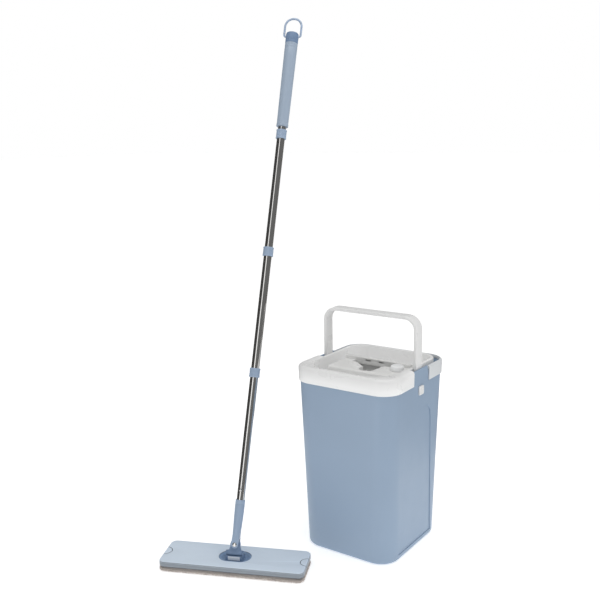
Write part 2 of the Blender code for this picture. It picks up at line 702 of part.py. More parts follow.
# ---- mop head ----
def plate_solid(name, look, parent):
    levels = [
        (0.0015, PLATE_Z),
        (0.0, PLATE_Z + 0.0015),
        (0.0, PLATE_TOP_Z - 0.0032),
        (0.0004, PLATE_TOP_Z - 0.0018),
        (0.0013, PLATE_TOP_Z - 0.0007),
        (0.0030, PLATE_TOP_Z),
    ]
    half_x, half_y = HEAD_LENGTH / 2, HEAD_WIDTH / 2
    outlines = [(rounded_rect(half_x - i, half_y - i, HEAD_CORNER - i * 0.5), z) for i, z in levels]
    return loft(name, outlines, look, parent=parent)


def stadium(length, width, steps=10):
    return rounded_rect(length / 2, width / 2, width / 2 - 0.0005, steps=steps)


def make_head(blue, dark, grey, strip_look, steel, parent):
    half_x, half_y = HEAD_LENGTH / 2, HEAD_WIDTH / 2
    pad_levels = [(0.0030, 0.0), (0.0, 0.0030), (0.0, 0.0060), (0.0020, PAD_THICKNESS)]
    pad = [(rounded_rect(half_x - i, half_y - i, 0.015 - i), z) for i, z in pad_levels]
    loft("microfibre_pad", pad, grey, parent=parent)
    strip = rounded_rect(half_x - 0.005, half_y - 0.004, 0.010)
    prism("hook_strip", strip, STRIP_Z, STRIP_TOP_Z, strip_look, parent)
    plate = plate_solid("mop_plate", blue, parent)
    pocket_z = 0.0148
    pocket = prism("hinge_pocket", stadium(DISH_LENGTH, DISH_WIDTH), pocket_z, 0.03, parent=parent)
    tab_z = 0.0170
    tab_cutters = []
    for side, name in ((-1, "left"), (1, "right")):
        end = side * half_x
        tab_cutters.append(prism(f"tab_pocket_{name}", circle(0.0150, 40, end, 0.0), tab_z, 0.03))
        tab = plate_solid(f"end_tab_{name}", blue, parent)
        column = prism(f"tab_column_{name}", circle(0.0150 - TAB_GAP, 40, end, 0.0), tab_z + GAP, 0.03)
        column.parent = parent
        boolean(tab, column, "INTERSECT")
    tab_pockets = mesh_of_parts("tab_pockets", tab_cutters)
    tab_pockets.parent = parent
    cut(plate, pocket, tab_pockets)
    length, width = DISH_LENGTH - 2 * GAP, DISH_WIDTH - 2 * GAP
    dish_levels = [
        (stadium(length, width), pocket_z + GAP),
        (stadium(length, width), PLATE_TOP_Z - 0.0008),
        (stadium(length - 0.0020, width - 0.0020), PLATE_TOP_Z - 0.0004),
        (stadium(length - 0.0094, width - 0.0094), DISH_Z),
    ]
    loft("hinge_dish", dish_levels, dark, parent=parent)
    make_bracket(dark, steel, parent)


def make_bracket(look, steel, parent):
    """Cradle on the dish, which holds the swing pin at both ends."""
    base_z = DISH_Z + GAP
    low, high = (-0.0195, -0.0105, base_z), (0.0195, 0.0105, base_z + 0.0012)
    bracket = block("hinge_bracket", low, high, look, parent)
    walls = []
    for side in (-1, 1):
        xs = sorted((side * 0.0165, side * 0.0195))
        crown = arc(0.0, SWING_Z, 0.0055, 0, 180, 8)
        cheek = [(0.0080, base_z + 0.0006), *crown, (-0.0080, base_z + 0.0006)]
        walls.append(prism(f"cheek_{side}", cheek, *xs, axis="X"))
    bars = []
    for side in (-1, 1):
        ys = sorted((side * 0.0083, side * 0.0105))
        low, high = (-0.0170, ys[0], base_z + 0.0006), (0.0170, ys[1], SWING_Z - 0.0025)
        bars.append(block(f"bar_{side}", low, high))
    additions = [mesh_of_parts("bracket_cheeks", walls), mesh_of_parts("bracket_bars", bars)]
    hole = prism("bracket_pin_hole", circle(0.0023, 20, 0.0, SWING_Z), -0.03, 0.03, axis="X")
    for other in (*additions, hole):
        other.parent = parent
    join(bracket, *additions)
    cut(bracket, hole)
    prism("swing_pin", circle(0.0020, 20, 0.0, SWING_Z), -0.0203, 0.0203, steel, parent, "X")


def make_yoke(look, steel, parent):
    """Barrel on the swing pin with an upright blade, which the pole's fork straddles."""
    yoke = prism("yoke", circle(0.0060, 32), -0.0160, 0.0160, look, parent, "X")
    top = arc(0.0, TILT_UP, 0.0105, -20, 200, 16)
    base = [(-0.0135, 0.001), (0.0135, 0.001), (0.0125, 0.0065)]
    blade_outline = [(z, x) for x, z in [*base, *top, (-0.0125, 0.0065)]]
    blade = prism("yoke_blade", blade_outline, -0.0040, 0.0040, parent=parent, axis="Y")
    join(yoke, blade)
    pin_bore = prism("yoke_pin_bore", circle(0.0023, 20), -0.03, 0.03, parent=parent, axis="X")
    rivet_circle = circle(0.0028, 20, TILT_UP, 0.0)
    rivet_bore = prism("yoke_rivet_bore", rivet_circle, -0.03, 0.03, parent=parent, axis="Y")
    cut(yoke, pin_bore, rivet_bore)
    profile = [(0.0024, -0.0103), (0.0040, -0.0094), (0.0040, -0.0086), (0.0025, -0.0086)]
    profile += [(radius, -y) for radius, y in reversed(profile)]
    turned("tilt_rivet", profile, steel, parent, 20, "Y", (TILT_UP, 0.0))


# ---- pole ----
def make_socket(look, parent):
    """Fork at the foot of the pole, which becomes a round socket for the lowest tube."""
    fork_half, fork_y, web_z = 0.0075, 0.0083, 0.0112
    body_levels = []
    for half_x, half_y, corner, height in (
        (fork_half, fork_y, 0.0015, web_z),
        (0.0078, 0.0084, 0.0040, 0.0200),
        (0.0086, 0.0090, 0.0070, 0.0330),
        (0.0099, 0.0099, 0.0098, 0.0550),
        (0.0103, 0.0103, 0.0102, SOCKET_TOP - 0.0015),
        (0.0098, 0.0098, 0.0097, SOCKET_TOP),
    ):
        body_levels.append((rounded_rect(half_x, half_y, corner), height))
    socket = loft("pole_socket", body_levels, look, parent=parent)
    tip = [(z, x) for x, z in arc(0.0, 0.0, fork_half, 180, 360, 12)]
    prong = [(web_z + 0.001, -fork_half), *tip, (web_z + 0.001, fork_half)]
    prongs = []
    for side in (-1, 1):
        ys = sorted((side * 0.0043, side * fork_y))
        prongs.append(prism(f"prong_{side}", prong, *ys, axis="Y"))
    fork = mesh_of_parts("socket_fork", prongs)
    fork.parent = parent
    join(socket, fork)
    bore = turned("socket_bore", [(TUBE_R + GAP, TUBE_START - GAP), (TUBE_R + GAP, 0.12)], parent=parent)
    rivet = prism("fork_rivet_hole", circle(0.0028, 20), -0.03, 0.03, parent=parent, axis="Y")
    cut(socket, bore, rivet)


def make_tubes(steel, ring_look, parent):
    """Four steel sections that screw together inside three coloured joint rings."""
    edges = [TUBE_START]
    for place in RING_PLACES:
        edges += [place - GAP, place + GAP]
    edges.append(GRIP_TOP - 0.020)
    names = ("tube_lower", "tube_lower_middle", "tube_upper_middle", "tube_top")
    for name, low, high in zip(names, edges[::2], edges[1::2]):
        section = tube(name, TUBE_R, TUBE_R - TUBE_WALL, low, high, steel, parent)
        if name == "tube_lower":
            hole_circle = circle(0.0033, 20, BUTTON_PLACE, 0.0)
            cut(section, prism("button_hole", hole_circle, -0.02, 0.0, parent=parent, axis="Y"))
    inner = TUBE_R + 2 * GAP
    for number, place in enumerate(RING_PLACES, 1):
        half, crown = JOINT_RING_HALF, 0.0008
        levels = [
            (JOINT_RING_R - crown, place - half),
            (JOINT_RING_R, place - half + crown),
            (JOINT_RING_R, place + half - crown),
            (JOINT_RING_R - crown, place + half),
            (inner, place + half),
            (inner, place - half),
        ]
        rings = [(circle(radius, 24), height) for radius, height in levels]
        loft(f"joint_ring_{number}", rings, ring_look, True, parent)


def make_button(steel, parent):
    """Spring button in the lowest tube, just above the socket."""
    profile = [(0.0042, 0.0045), (0.0042, 0.0058), (0.0030, 0.0058), (0.0030, 0.0102)]
    profile += [(0.0024, 0.0112), (0.0012, 0.0116)]
    flipped = [(radius, -depth) for radius, depth in reversed(profile)]
    turned("push_button", flipped, steel, parent, 20, "Y", (BUTTON_PLACE, 0.0))


def make_grip(look, cap_look, loop_look, parent):
    levels = [
        (0.0128, GRIP_LOW),
        (0.0133, GRIP_LOW + 0.0010),
        (0.0133, GRIP_LOW + 0.0045),
        (0.0129, GRIP_LOW + 0.0090),
        (0.0133, GRIP_LOW + 0.0600),
        (0.0138, GRIP_LOW + 0.1300),
        (0.0141, GRIP_TOP - 0.0120),
        (0.0140, GRIP_TOP),
        (TUBE_R + GAP, GRIP_TOP),
        (TUBE_R + GAP, GRIP_LOW),
    ]
    rings = [(circle(radius, 32), height) for radius, height in levels]
    loft("grip", rings, look, True, parent)
    low = GRIP_TOP + GAP
    profile = [(0.0143, low), (0.0143, CAP_TOP - 0.0050), (0.0136, CAP_TOP - 0.0022)]
    profile += [(0.0124, CAP_TOP - 0.0006), (0.0104, CAP_TOP)]
    cap = turned("end_cap", profile, cap_look, parent)
    bar_z = CAP_TOP - 0.0080
    hole = prism("loop_hole", circle(0.0026, 20, 0.0, bar_z), -0.02, 0.02, parent=parent, axis="X")
    cut(cap, hole)
    loop_pose = empty("hanging_loop_axis", (0.0, 0.0, bar_z), parent=parent)
    make_loop(loop_look, loop_pose, LOOP_TOP - bar_z)


def make_loop(look, parent, top):
    """Round-wire loop, upright: its straight bottom bar turns in the end cap."""
    wire, half_width, sides = 0.0022, 0.0190, 8
    low_corner, high_corner, crest = 0.0040, 0.0185, top - wire
    path = arc(half_width - low_corner, low_corner, low_corner, -90, 0, 4)
    path += arc(half_width - high_corner, crest - high_corner, high_corner, 0, 90, 8)
    path += arc(high_corner - half_width, crest - high_corner, high_corner, 90, 180, 8)
    path += arc(low_corner - half_width, low_corner, low_corner, 180, 270, 4)
    bm = bmesh.new()
    rows = []
    for i, (x, z) in enumerate(path):
        before, after = Vector(path[i - 1]), Vector(path[(i + 1) % len(path)])
        along = (after - before).normalized()
        outward = Vector((along.y, -along.x))
        row = []
        for step in range(sides):
            turn = 2 * pi * step / sides
            shift = outward * wire * cos(turn)
            row.append(bm.verts.new((x + shift.x, wire * sin(turn), z + shift.y)))
        rows.append(row)
    for row, following in zip(rows, [*rows[1:], rows[0]]):
        for i in range(sides):
            j = (i + 1) % sides
            bm.faces.new((row[i], row[j], following[j], following[i]))
    finish_mesh("hanging_loop", bm, look, parent)


def build():
    clear_scene()
    blue = material("blue_plastic", (150, 171, 193), 0.45)
    white = material("white_plastic", (226, 227, 230), 0.40)
    pale_blue = material("pale_blue_plastic", (196, 209, 226), 0.40)
    mid_blue = material("mid_blue_plastic", (158, 176, 201), 0.45)
    dark_blue = material("dark_blue_plastic", (104, 128, 156), 0.50)
    light_grey = material("light_grey_plastic", (208, 214, 222), 0.40)
    steel = material("polished_steel", (200, 200, 200), 0.15, 1.0)
    rubber = material("grey_rubber", (90, 96, 104), 0.70)
    fabric = material("grey_microfibre", (150, 150, 154), 0.95)
    hooks = material("hook_tape", (78, 92, 112), 0.90)
    clear = material("milky_plastic", (214, 220, 228), 0.25)

    make_bucket(blue)
    make_rear_collar(white)
    make_pivot_cap(-1, white)
    make_pivot_cap(1, white)
    make_bail(white, empty("bail_axis", (0.0, PIVOT_Y, PIVOT_Z)))

    make_tray(white)
    make_front_collar(white)
    make_platform(white)
    make_rib(white)
    make_cage_flange(white)
    make_cage(white)
    make_screws(steel)
    make_rollers(white, steel)
    make_squeegee(white, rubber)
    make_knob(white, light_grey)

    head = empty("mop_head_place", (MOP_X, MOP_Y, 0.0), (0.0, 0.0, radians(MOP_YAW)))
    make_head(pale_blue, dark_blue, fabric, hooks, steel, head)
    yoke = empty("swing_axis", (0.0, 0.0, SWING_Z), (radians(-SWING_REST), 0.0, 0.0), head)
    make_yoke(dark_blue, steel, yoke)
    pole = empty("tilt_axis", (0.0, 0.0, TILT_UP), (0.0, radians(TILT_REST), 0.0), yoke)
    make_socket(mid_blue, pole)
    make_tubes(steel, mid_blue, pole)
    make_button(steel, pole)
    make_grip(mid_blue, dark_blue, clear, pole)


build()
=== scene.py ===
"""Looks of the flat mop and its wringer bucket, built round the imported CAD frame.

Metres, +Z up. The bucket's base centre is the origin, -Y is its front. The mop's pieces are
made in their own upright frames (head, yoke, pole) and placed by the joints' rest angles.
"""

import random
from math import ceil, cos, hypot, pi, radians, sin, tau

import bmesh
import bpy
from mathutils import Matrix, Vector, noise


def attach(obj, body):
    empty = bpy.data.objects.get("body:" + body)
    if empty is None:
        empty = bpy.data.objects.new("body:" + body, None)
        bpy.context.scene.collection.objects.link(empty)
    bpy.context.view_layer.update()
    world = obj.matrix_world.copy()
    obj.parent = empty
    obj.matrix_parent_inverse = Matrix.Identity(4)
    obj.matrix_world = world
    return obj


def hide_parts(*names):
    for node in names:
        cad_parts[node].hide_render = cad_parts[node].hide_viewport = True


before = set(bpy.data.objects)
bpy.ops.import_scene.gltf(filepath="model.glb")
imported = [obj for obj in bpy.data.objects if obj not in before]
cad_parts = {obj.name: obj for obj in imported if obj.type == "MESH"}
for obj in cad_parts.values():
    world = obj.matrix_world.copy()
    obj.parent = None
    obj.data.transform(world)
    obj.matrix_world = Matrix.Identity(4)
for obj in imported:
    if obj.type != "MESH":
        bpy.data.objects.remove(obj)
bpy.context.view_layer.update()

# ---- sizes that the visual pieces share with the CAD frame ----
WALL = 0.0024
TAPER_X, TAPER_Y, TAPER_CORNER = 0.0247, 0.0255, 0.0107
BASE_HALF_X, BASE_HALF_Y, BASE_CORNER = 0.1102, 0.1176, 0.045
RIM_Z, EAR_Z = 0.3995, 0.4090
EAR_FRONT_Y, EAR_BACK_Y = -0.0310, 0.0350
PIVOT_Y, PIVOT_Z = 0.002, 0.362
PIVOT = (PIVOT_Y, PIVOT_Z)
PIVOT_HOLE_R, SHANK_R = 0.0043, 0.0040
COLLAR_LOW_Z, COLLAR_TOP_Z, COLLAR_PROUD, COLLAR_BACK_Y = 0.3780, 0.4125, 0.0030, -0.0330
RING_HALF_X, RING_HALF_Y, RING_CENTRE_Y = 0.1075, 0.1191, -0.0047
RING_TOP_Z, RING_BOTTOM_Z, RING_LIP = 0.4110, 0.3620, 0.0073
DECK_Z, DECK_THICKNESS = 0.3770, 0.0025
SLOT_X, SLOT_HALF_X, SLOT_FRONT_Y, SLOT_BACK_Y = 0.002, 0.052, -0.008, 0.0185
RIB_BACK_Y = 0.0272
NOTCH_Y, NOTCH_R = -0.020, 0.018
PLATFORM_TOP_Z, RIB_TOP_Z = 0.4005, 0.4077
PLATFORM_LEFT_X, PLATFORM_RIGHT_X, PLATFORM_FRONT_Y = -0.076, 0.0870, -0.057
BELOW_DECK_Z, ABOVE_INSERT_Z = 0.36, 0.42
KNOB_X, KNOB_Y, KNOB_R, KNOB_TOP_Z = 0.070, -0.010, 0.0145, 0.4115
SHAFT_HOLE_R, SCREW_HOLE_R = 0.0036, 0.0018
TUBE_R, SOCKET_TOP, BUTTON_PLACE = 0.0088, 0.0935, 0.1145
GRIP_LOW, GRIP_TOP, CAP_TOP, LOOP_TOP = 0.9125, 1.1050, 1.1295, 1.1657
HEAD_LENGTH, HEAD_WIDTH, HEAD_CORNER = 0.312, 0.0955, 0.013
PLATE_Z, PLATE_TOP_Z = 0.0108, 0.0225
SWING_Z, TILT_UP = 0.0300, 0.018
PIN_HOLE_R, RIVET_HOLE_R = 0.0023, 0.0028

# ---- frames of the mop's pieces at rest ----
HEAD = Matrix.Translation((-0.168, -0.2817, 0.0)) @ Matrix.Rotation(radians(23.7), 4, "Z")
YOKE = HEAD @ Matrix.Translation((0.0, 0.0, SWING_Z)) @ Matrix.Rotation(radians(-18.0), 4, "X")
POLE = YOKE @ Matrix.Translation((0.0, 0.0, TILT_UP)) @ Matrix.Rotation(radians(3.6), 4, "Y")
WORLD = Matrix.Identity(4)


# ---- camera, light and floor ----
def linear(channel):
    """One sRGB channel from 0 to 255, as a linear value."""
    value = channel / 255
    return value / 12.92 if value <= 0.04045 else ((value + 0.055) / 1.055) ** 2.4


def colour(red, green, blue):
    return (linear(red), linear(green), linear(blue), 1.0)


def make_camera():
    place = Vector((0.8845, -1.5144, 0.90))
    pitch, roll = radians(-11.42), radians(1.0)
    flat = Vector((-0.5778, 0.8162, 0.0)).normalized()
    forward = (flat * cos(pitch) + Vector((0, 0, sin(pitch)))).normalized()
    right = forward.cross(Vector((0, 0, 1))).normalized()
    up = right.cross(forward)
    tilted_right = right * cos(roll) - up * sin(roll)
    tilted_up = up * cos(roll) + right * sin(roll)
    turn = Matrix((tilted_right, tilted_up, -forward)).transposed().to_4x4()
    data = bpy.data.cameras.new("camera")
    data.lens = 49.7
    data.sensor_width = 36.0
    camera = bpy.data.objects.new("camera", data)
    camera.matrix_world = Matrix.Translation(place) @ turn
    bpy.context.scene.collection.objects.link(camera)
    bpy.context.scene.camera = camera


def area_light(name, place, aim, size, power):
    data = bpy.data.lights.new(name, "AREA")
    data.shape = "RECTANGLE"
    data.size, data.size_y = size
    data.energy = power
    lamp = bpy.data.objects.new(name, data)
    turn = (Vector(aim) - Vector(place)).to_track_quat("-Z", "Y").to_matrix().to_4x4()
    lamp.matrix_world = Matrix.Translation(place) @ turn
    bpy.context.scene.collection.objects.link(lamp)


def make_world():
    """White surroundings, dimmer for diffuse light; reflections see light and dark upright bands."""
    world = bpy.data.worlds.new("studio")
    world.use_nodes = True
    bpy.context.scene.world = world
    tree = world.node_tree
    back = tree.nodes["Background"]
    back.inputs["Strength"].default_value = 1.0
    where = tree.nodes.new("ShaderNodeTexCoord")
    split = tree.nodes.new("ShaderNodeSeparateXYZ")
    tree.links.new(where.outputs["Generated"], split.inputs[0])
    angle = tree.nodes.new("ShaderNodeMath")
    angle.operation = "ARCTAN2"
    tree.links.new(split.outputs["Y"], angle.inputs[0])
    tree.links.new(split.outputs["X"], angle.inputs[1])
    turns = tree.nodes.new("ShaderNodeMapRange")
    turns.inputs["From Min"].default_value = -pi
    turns.inputs["From Max"].default_value = pi
    tree.links.new(angle.outputs[0], turns.inputs["Value"])
    flags = tree.nodes.new("ShaderNodeValToRGB")
    flags.color_ramp.interpolation = "EASE"
    stops = (
        (0.00, 0.85), (0.08, 0.85), (0.12, 0.03), (0.17, 0.03), (0.20, 1.00), (0.27, 1.00),
        (0.30, 0.05), (0.37, 0.05), (0.40, 0.90), (0.52, 0.90), (0.56, 0.06), (0.63, 0.06),
        (0.67, 1.00), (0.76, 1.00), (0.80, 0.05), (0.86, 0.05), (0.90, 0.85), (1.00, 0.85),
    )
    ramp = flags.color_ramp.elements
    while len(ramp) < len(stops):
        ramp.new(0.5)
    for element, (position, grey) in zip(ramp, stops):
        element.position = position
        element.color = (grey, grey, grey, 1.0)
    tree.links.new(turns.outputs[0], flags.inputs["Fac"])
    path = tree.nodes.new("ShaderNodeLightPath")
    diffuse = tree.nodes.new("ShaderNodeMix")
    diffuse.data_type = "RGBA"
    diffuse.inputs["A"].default_value = (1.0, 1.0, 1.0, 1.0)
    diffuse.inputs["B"].default_value = (0.56, 0.56, 0.555, 1.0)
    tree.links.new(path.outputs["Is Diffuse Ray"], diffuse.inputs["Factor"])
    glossy = tree.nodes.new("ShaderNodeMix")
    glossy.data_type = "RGBA"
    tree.links.new(path.outputs["Is Glossy Ray"], glossy.inputs["Factor"])
    tree.links.new(diffuse.outputs["Result"], glossy.inputs["A"])
    tree.links.new(flags.outputs["Color"], glossy.inputs["B"])
    tree.links.new(glossy.outputs["Result"], back.inputs["Color"])


def make_floor():
    bm = bmesh.new()
    bmesh.ops.create_grid(bm, x_segments=1, y_segments=1, size=30.0)
    mesh = bpy.data.meshes.new("floor")
    bm.to_mesh(mesh)
    bm.free()
    floor = bpy.data.objects.new("floor", mesh)
    floor.location = (0.0, 0.0, -0.0002)
    bpy.context.scene.collection.objects.link(floor)
    mesh.materials.append(glowing("floor_paper", 0.95, 0.9, 1.0, 0.44))


def glowing(name, grey, roughness, glow, strength):
    """Plain grey stage material that also gives off light."""
    made = bpy.data.materials.new(name)
    made.use_nodes = True
    shader = made.node_tree.nodes["Principled BSDF"]
    shader.inputs["Base Color"].default_value = (grey, grey, grey, 1.0)
    shader.inputs["Roughness"].default_value = roughness
    shader.inputs["Emission Color"].default_value = (glow, glow, glow, 1.0)
    shader.inputs["Emission Strength"].default_value = strength
    return made


def make_flags():
    """Upright cards all round, seen only in reflections: dark ones and a narrow bright one between."""
    centre, radius, height = -0.10, 0.72, 2.4
    cards = (
        ("left_flag", -100, -238, 0.05),
        ("line_card", -98, -75, 1.25),
        ("right_flag", -70, 120, 0.15),
    )
    for name, start, end, grey in cards:
        bm = bmesh.new()
        rows = []
        for x, y in arc(centre, centre, radius, start, end, 24):
            rows.append((bm.verts.new((x, y, 0.0)), bm.verts.new((x, y, height))))
        for (low, high), (next_low, next_high) in zip(rows, rows[1:]):
            bm.faces.new((low, next_low, next_high, high))
        card = object_from(name, bm)
        card.data.materials.append(glowing(f"{name}_cloth", 0.0, 1.0, grey, 1.0))
        for ray in ("camera", "diffuse", "transmission", "volume_scatter", "shadow"):
            setattr(card, f"visible_{ray}", False)


# ---- materials ----
class Look:
    """Node-building shorthand for one procedural material. Coordinates are the piece's own, in metres."""

    def __init__(self, name, roughness, metallic=0.0, stretch=(1.0, 1.0, 1.0)):
        self.material = bpy.data.materials.new(name)
        self.material.use_nodes = True
        self.tree = self.material.node_tree
        self.shader = self.tree.nodes["Principled BSDF"]
        self.shader.inputs["Roughness"].default_value = roughness
        self.shader.inputs["Metallic"].default_value = metallic
        where = self.tree.nodes.new("ShaderNodeTexCoord")
        self.mapping = self.tree.nodes.new("ShaderNodeMapping")
        self.mapping.inputs["Scale"].default_value = stretch
        self.tree.links.new(where.outputs["Object"], self.mapping.inputs["Vector"])
        self.bump = None

    def noise(self, scale, detail=3.0, low=0.0, high=1.0):
        texture = self.tree.nodes.new("ShaderNodeTexNoise")
        texture.inputs["Scale"].default_value = scale
        texture.inputs["Detail"].default_value = detail
        self.tree.links.new(self.mapping.outputs[0], texture.inputs["Vector"])
        return self.spread(texture.outputs["Fac"], low, high)

    def spread(self, socket, low, high, from_low=0.3, from_high=0.7):
        node = self.tree.nodes.new("ShaderNodeMapRange")
        node.inputs["From Min"].default_value = from_low
        node.inputs["From Max"].default_value = from_high
        node.inputs["To Min"].default_value = low
        node.inputs["To Max"].default_value = high
        self.tree.links.new(socket, node.inputs["Value"])
        return node.outputs[0]

    def mix(self, factor, first, second):
        """A colour between two colours or sockets."""
        node = self.tree.nodes.new("ShaderNodeMix")
        node.data_type = "RGBA"
        self.tree.links.new(factor, node.inputs["Factor"])
        for key, value in (("A", first), ("B", second)):
            if isinstance(value, tuple):
                node.inputs[key].default_value = value
            else:
                self.tree.links.new(value, node.inputs[key])
        return node.outputs["Result"]

    def paint(self, socket):
        self.tree.links.new(socket, self.shader.inputs["Base Color"])

    def rough(self, socket):
        self.tree.links.new(socket, self.shader.inputs["Roughness"])

    def raise_by(self, socket, strength, distance):
        """Adds a bump on top of any earlier one."""
        node = self.tree.nodes.new("ShaderNodeBump")
        node.inputs["Strength"].default_value = strength
        node.inputs["Distance"].default_value = distance
        self.tree.links.new(socket, node.inputs["Height"])
        if self.bump:
            self.tree.links.new(self.bump, node.inputs["Normal"])
        self.bump = node.outputs["Normal"]
        self.tree.links.new(self.bump, self.shader.inputs["Normal"])

    def cells(self, scale, feature="F1"):
        texture = self.tree.nodes.new("ShaderNodeTexVoronoi")
        texture.feature = feature
        texture.inputs["Scale"].default_value = scale
        self.tree.links.new(self.mapping.outputs[0], texture.inputs["Vector"])
        return texture.outputs["Distance"]

    def level(self):
        """1 on faces that look up, 0 on side faces: the mask for painted shade on the side faces."""
        geometry = self.tree.nodes.new("ShaderNodeNewGeometry")
        split = self.tree.nodes.new("ShaderNodeSeparateXYZ")
        self.tree.links.new(geometry.outputs["Normal"], split.inputs[0])
        return self.spread(split.outputs["Z"], 0.0, 1.0, 0.35, 0.8)

    def edges(self, width):
        """1 on sharp outward edges, 0 on flat surfaces."""
        geometry = self.tree.nodes.new("ShaderNodeNewGeometry")
        return self.spread(geometry.outputs["Pointiness"], 0.0, 1.0, 0.5 + width * 0.2, 0.5 + width)


def shade(base, amount):
    return (*(min(1.0, channel * amount) for channel in base[:3]), 1.0)


def moulded(name, base, roughness, grain=0.05, mottle=0.03, grain_scale=900.0, upright=1.0):
    """Moulded plastic: faint flow mottling, a fine spark-eroded grain, sharp edges painted lighter, light
    scuffs and, when asked, painted shade on the side faces.
    """
    look = Look(name, roughness)
    cloudy = look.mix(look.noise(9.0), shade(base, 1 - mottle), shade(base, 1 + mottle))
    # sharp outward edges are painted a tenth lighter than the rest
    edges_lighter = look.mix(look.edges(0.10), cloudy, shade(base, 1.10))
    # below a shade factor of 1, the side faces are painted darker than the tops: painted shade
    look.paint(look.mix(look.level(), shade(base, upright), edges_lighter) if upright < 1.0 else edges_lighter)
    look.rough(look.noise(26.0, 5.0, roughness - 0.05, roughness + 0.06))
    look.raise_by(look.noise(grain_scale, 2.0), grain, 0.0002)
    look.shader.inputs["IOR"].default_value = 1.49
    return look


def polished_steel():
    """Thin stainless tube: mirror polish with fine lines along it, soft smears and tiny pits."""
    look = Look("polished_steel", 0.12, 1.0, (1.0, 1.0, 0.02))
    streak = look.noise(900.0, 4.0)
    look.paint(look.mix(streak, (0.66, 0.65, 0.635, 1.0), (0.78, 0.77, 0.755, 1.0)))
    look.rough(look.noise(40.0, 4.0, 0.05, 0.12))
    look.raise_by(look.noise(2400.0, 3.0), 0.06, 0.00005)
    return look


def microfibre():
    look = Look("grey_microfibre", 0.95)
    tufts = look.cells(420.0)
    base = colour(216, 207, 201)
    # painted shade in the low gaps between tufts and a painted highlight on the raised tuft tops
    tuft_gap_shade = look.mix(look.spread(tufts, 0.0, 1.0, 0.1, 0.8), shade(base, 1.10), shade(base, 0.80))
    look.paint(look.mix(look.noise(60.0, 4.0), tuft_gap_shade, shade(base, 0.93)))
    look.raise_by(tufts, -0.35, 0.0008)
    look.raise_by(look.noise(1500.0, 3.0), 0.35, 0.0004)
    look.shader.inputs["Sheen Weight"].default_value = 0.35
    look.shader.inputs["Sheen Roughness"].default_value = 0.6
    return look


def woven_tape(name, base):
    look = Look(name, 0.85)
    dots = look.cells(900.0)
    look.paint(look.mix(look.spread(dots, 0.0, 1.0, 0.2, 0.8), shade(base, 1.25), shade(base, 0.7)))
    look.raise_by(dots, 0.6, 0.0004)
    return look


def soft_rubber():
    look = Look("grey_rubber", 0.6)
    base = colour(90, 96, 104)
    look.paint(look.mix(look.noise(60.0), shade(base, 0.9), shade(base, 1.12)))
    look.raise_by(look.noise(1200.0), 0.15, 0.0002)
    return look


def milky_plastic():
    look = Look("milky_plastic", 0.22)
    base = colour(186, 203, 226)
    look.paint(look.mix(look.noise(120.0), shade(base, 0.92), shade(base, 1.06)))
    look.raise_by(look.noise(700.0), 0.04, 0.0002)
    look.shader.inputs["Transmission Weight"].default_value = 0.35
    look.shader.inputs["IOR"].default_value = 1.46
    return look


def dished_plastic(base):
    """The hinge dish's dark plastic, with a fine moulded lattice on its floor; the lattice's raised lines
    carry a painted highlight and the cells between them painted shade.
    """
    look = Look("lattice_plastic", 0.5)
    lattice = look.cells(260.0, "DISTANCE_TO_EDGE")
    # painted highlight on the raised lattice lines, painted shade in the sunken cells
    lattice_light_and_shade = look.mix(look.spread(lattice, 0.0, 1.0, 0.02, 0.12), shade(base, 1.35), shade(base, 0.95))
    look.paint(look.mix(look.noise(30.0), lattice_light_and_shade, shade(base, 1.1)))
    look.raise_by(look.spread(lattice, 1.0, 0.0, 0.02, 0.14), 0.4, 0.0005)
    return look


def make_looks():
    plastics = (
        ("blue", "blue", (148, 168, 191), 0.42, 0.06, 0.015),
        ("white", "white", (232, 232, 232), 0.30, 0.03, 0.010),
        # a greyer copy of the white plastic for the rear collar: painted shade
        ("rear", "shaded_white", (213, 216, 219), 0.36, 0.03, 0.010),
        # a brighter copy of the white plastic for the knob: painted light
        ("knob", "bright_white", (247, 248, 249), 0.30, 0.03, 0.010),
        ("inner_white", "inner_white", (230, 230, 229), 0.42, 0.06, 0.012),
        # the plate's side band is painted in shade, at 0.36 of its colour, darker than its top
        ("plate", "pale_blue", (214, 227, 241), 0.36, 0.05, 0.015, 900.0, 0.36),
        ("mid", "mid_blue", (150, 169, 193), 0.40, 0.05, 0.020),
        ("grip", "grip", (155, 170, 188), 0.38, 0.12, 0.020, 600.0),
        ("dark", "dark_blue", (112, 135, 166), 0.42, 0.06, 0.020),
        ("light", "light_grey", (216, 221, 228), 0.32, 0.04, 0.015),
    )
    looks = {key: moulded(f"{name}_plastic", colour(*rgb), *rest) for key, name, rgb, *rest in plastics}
    return looks | {
        "dish": dished_plastic(colour(122, 146, 176)),
        "steel": polished_steel(),
        "pad": microfibre(),
        "tape": woven_tape("hook_tape", colour(84, 100, 124)),
        "rubber": soft_rubber(),
        "milky": milky_plastic(),
    }


# ---- mesh helpers ----
def object_from(name, bm, place=WORLD):
    bmesh.ops.recalc_face_normals(bm, faces=bm.faces)
    mesh = bpy.data.meshes.new(name)
    bm.to_mesh(mesh)
    bm.free()
    made = bpy.data.objects.new(name, mesh)
    made.matrix_world = place
    bpy.context.scene.collection.objects.link(made)
    return made


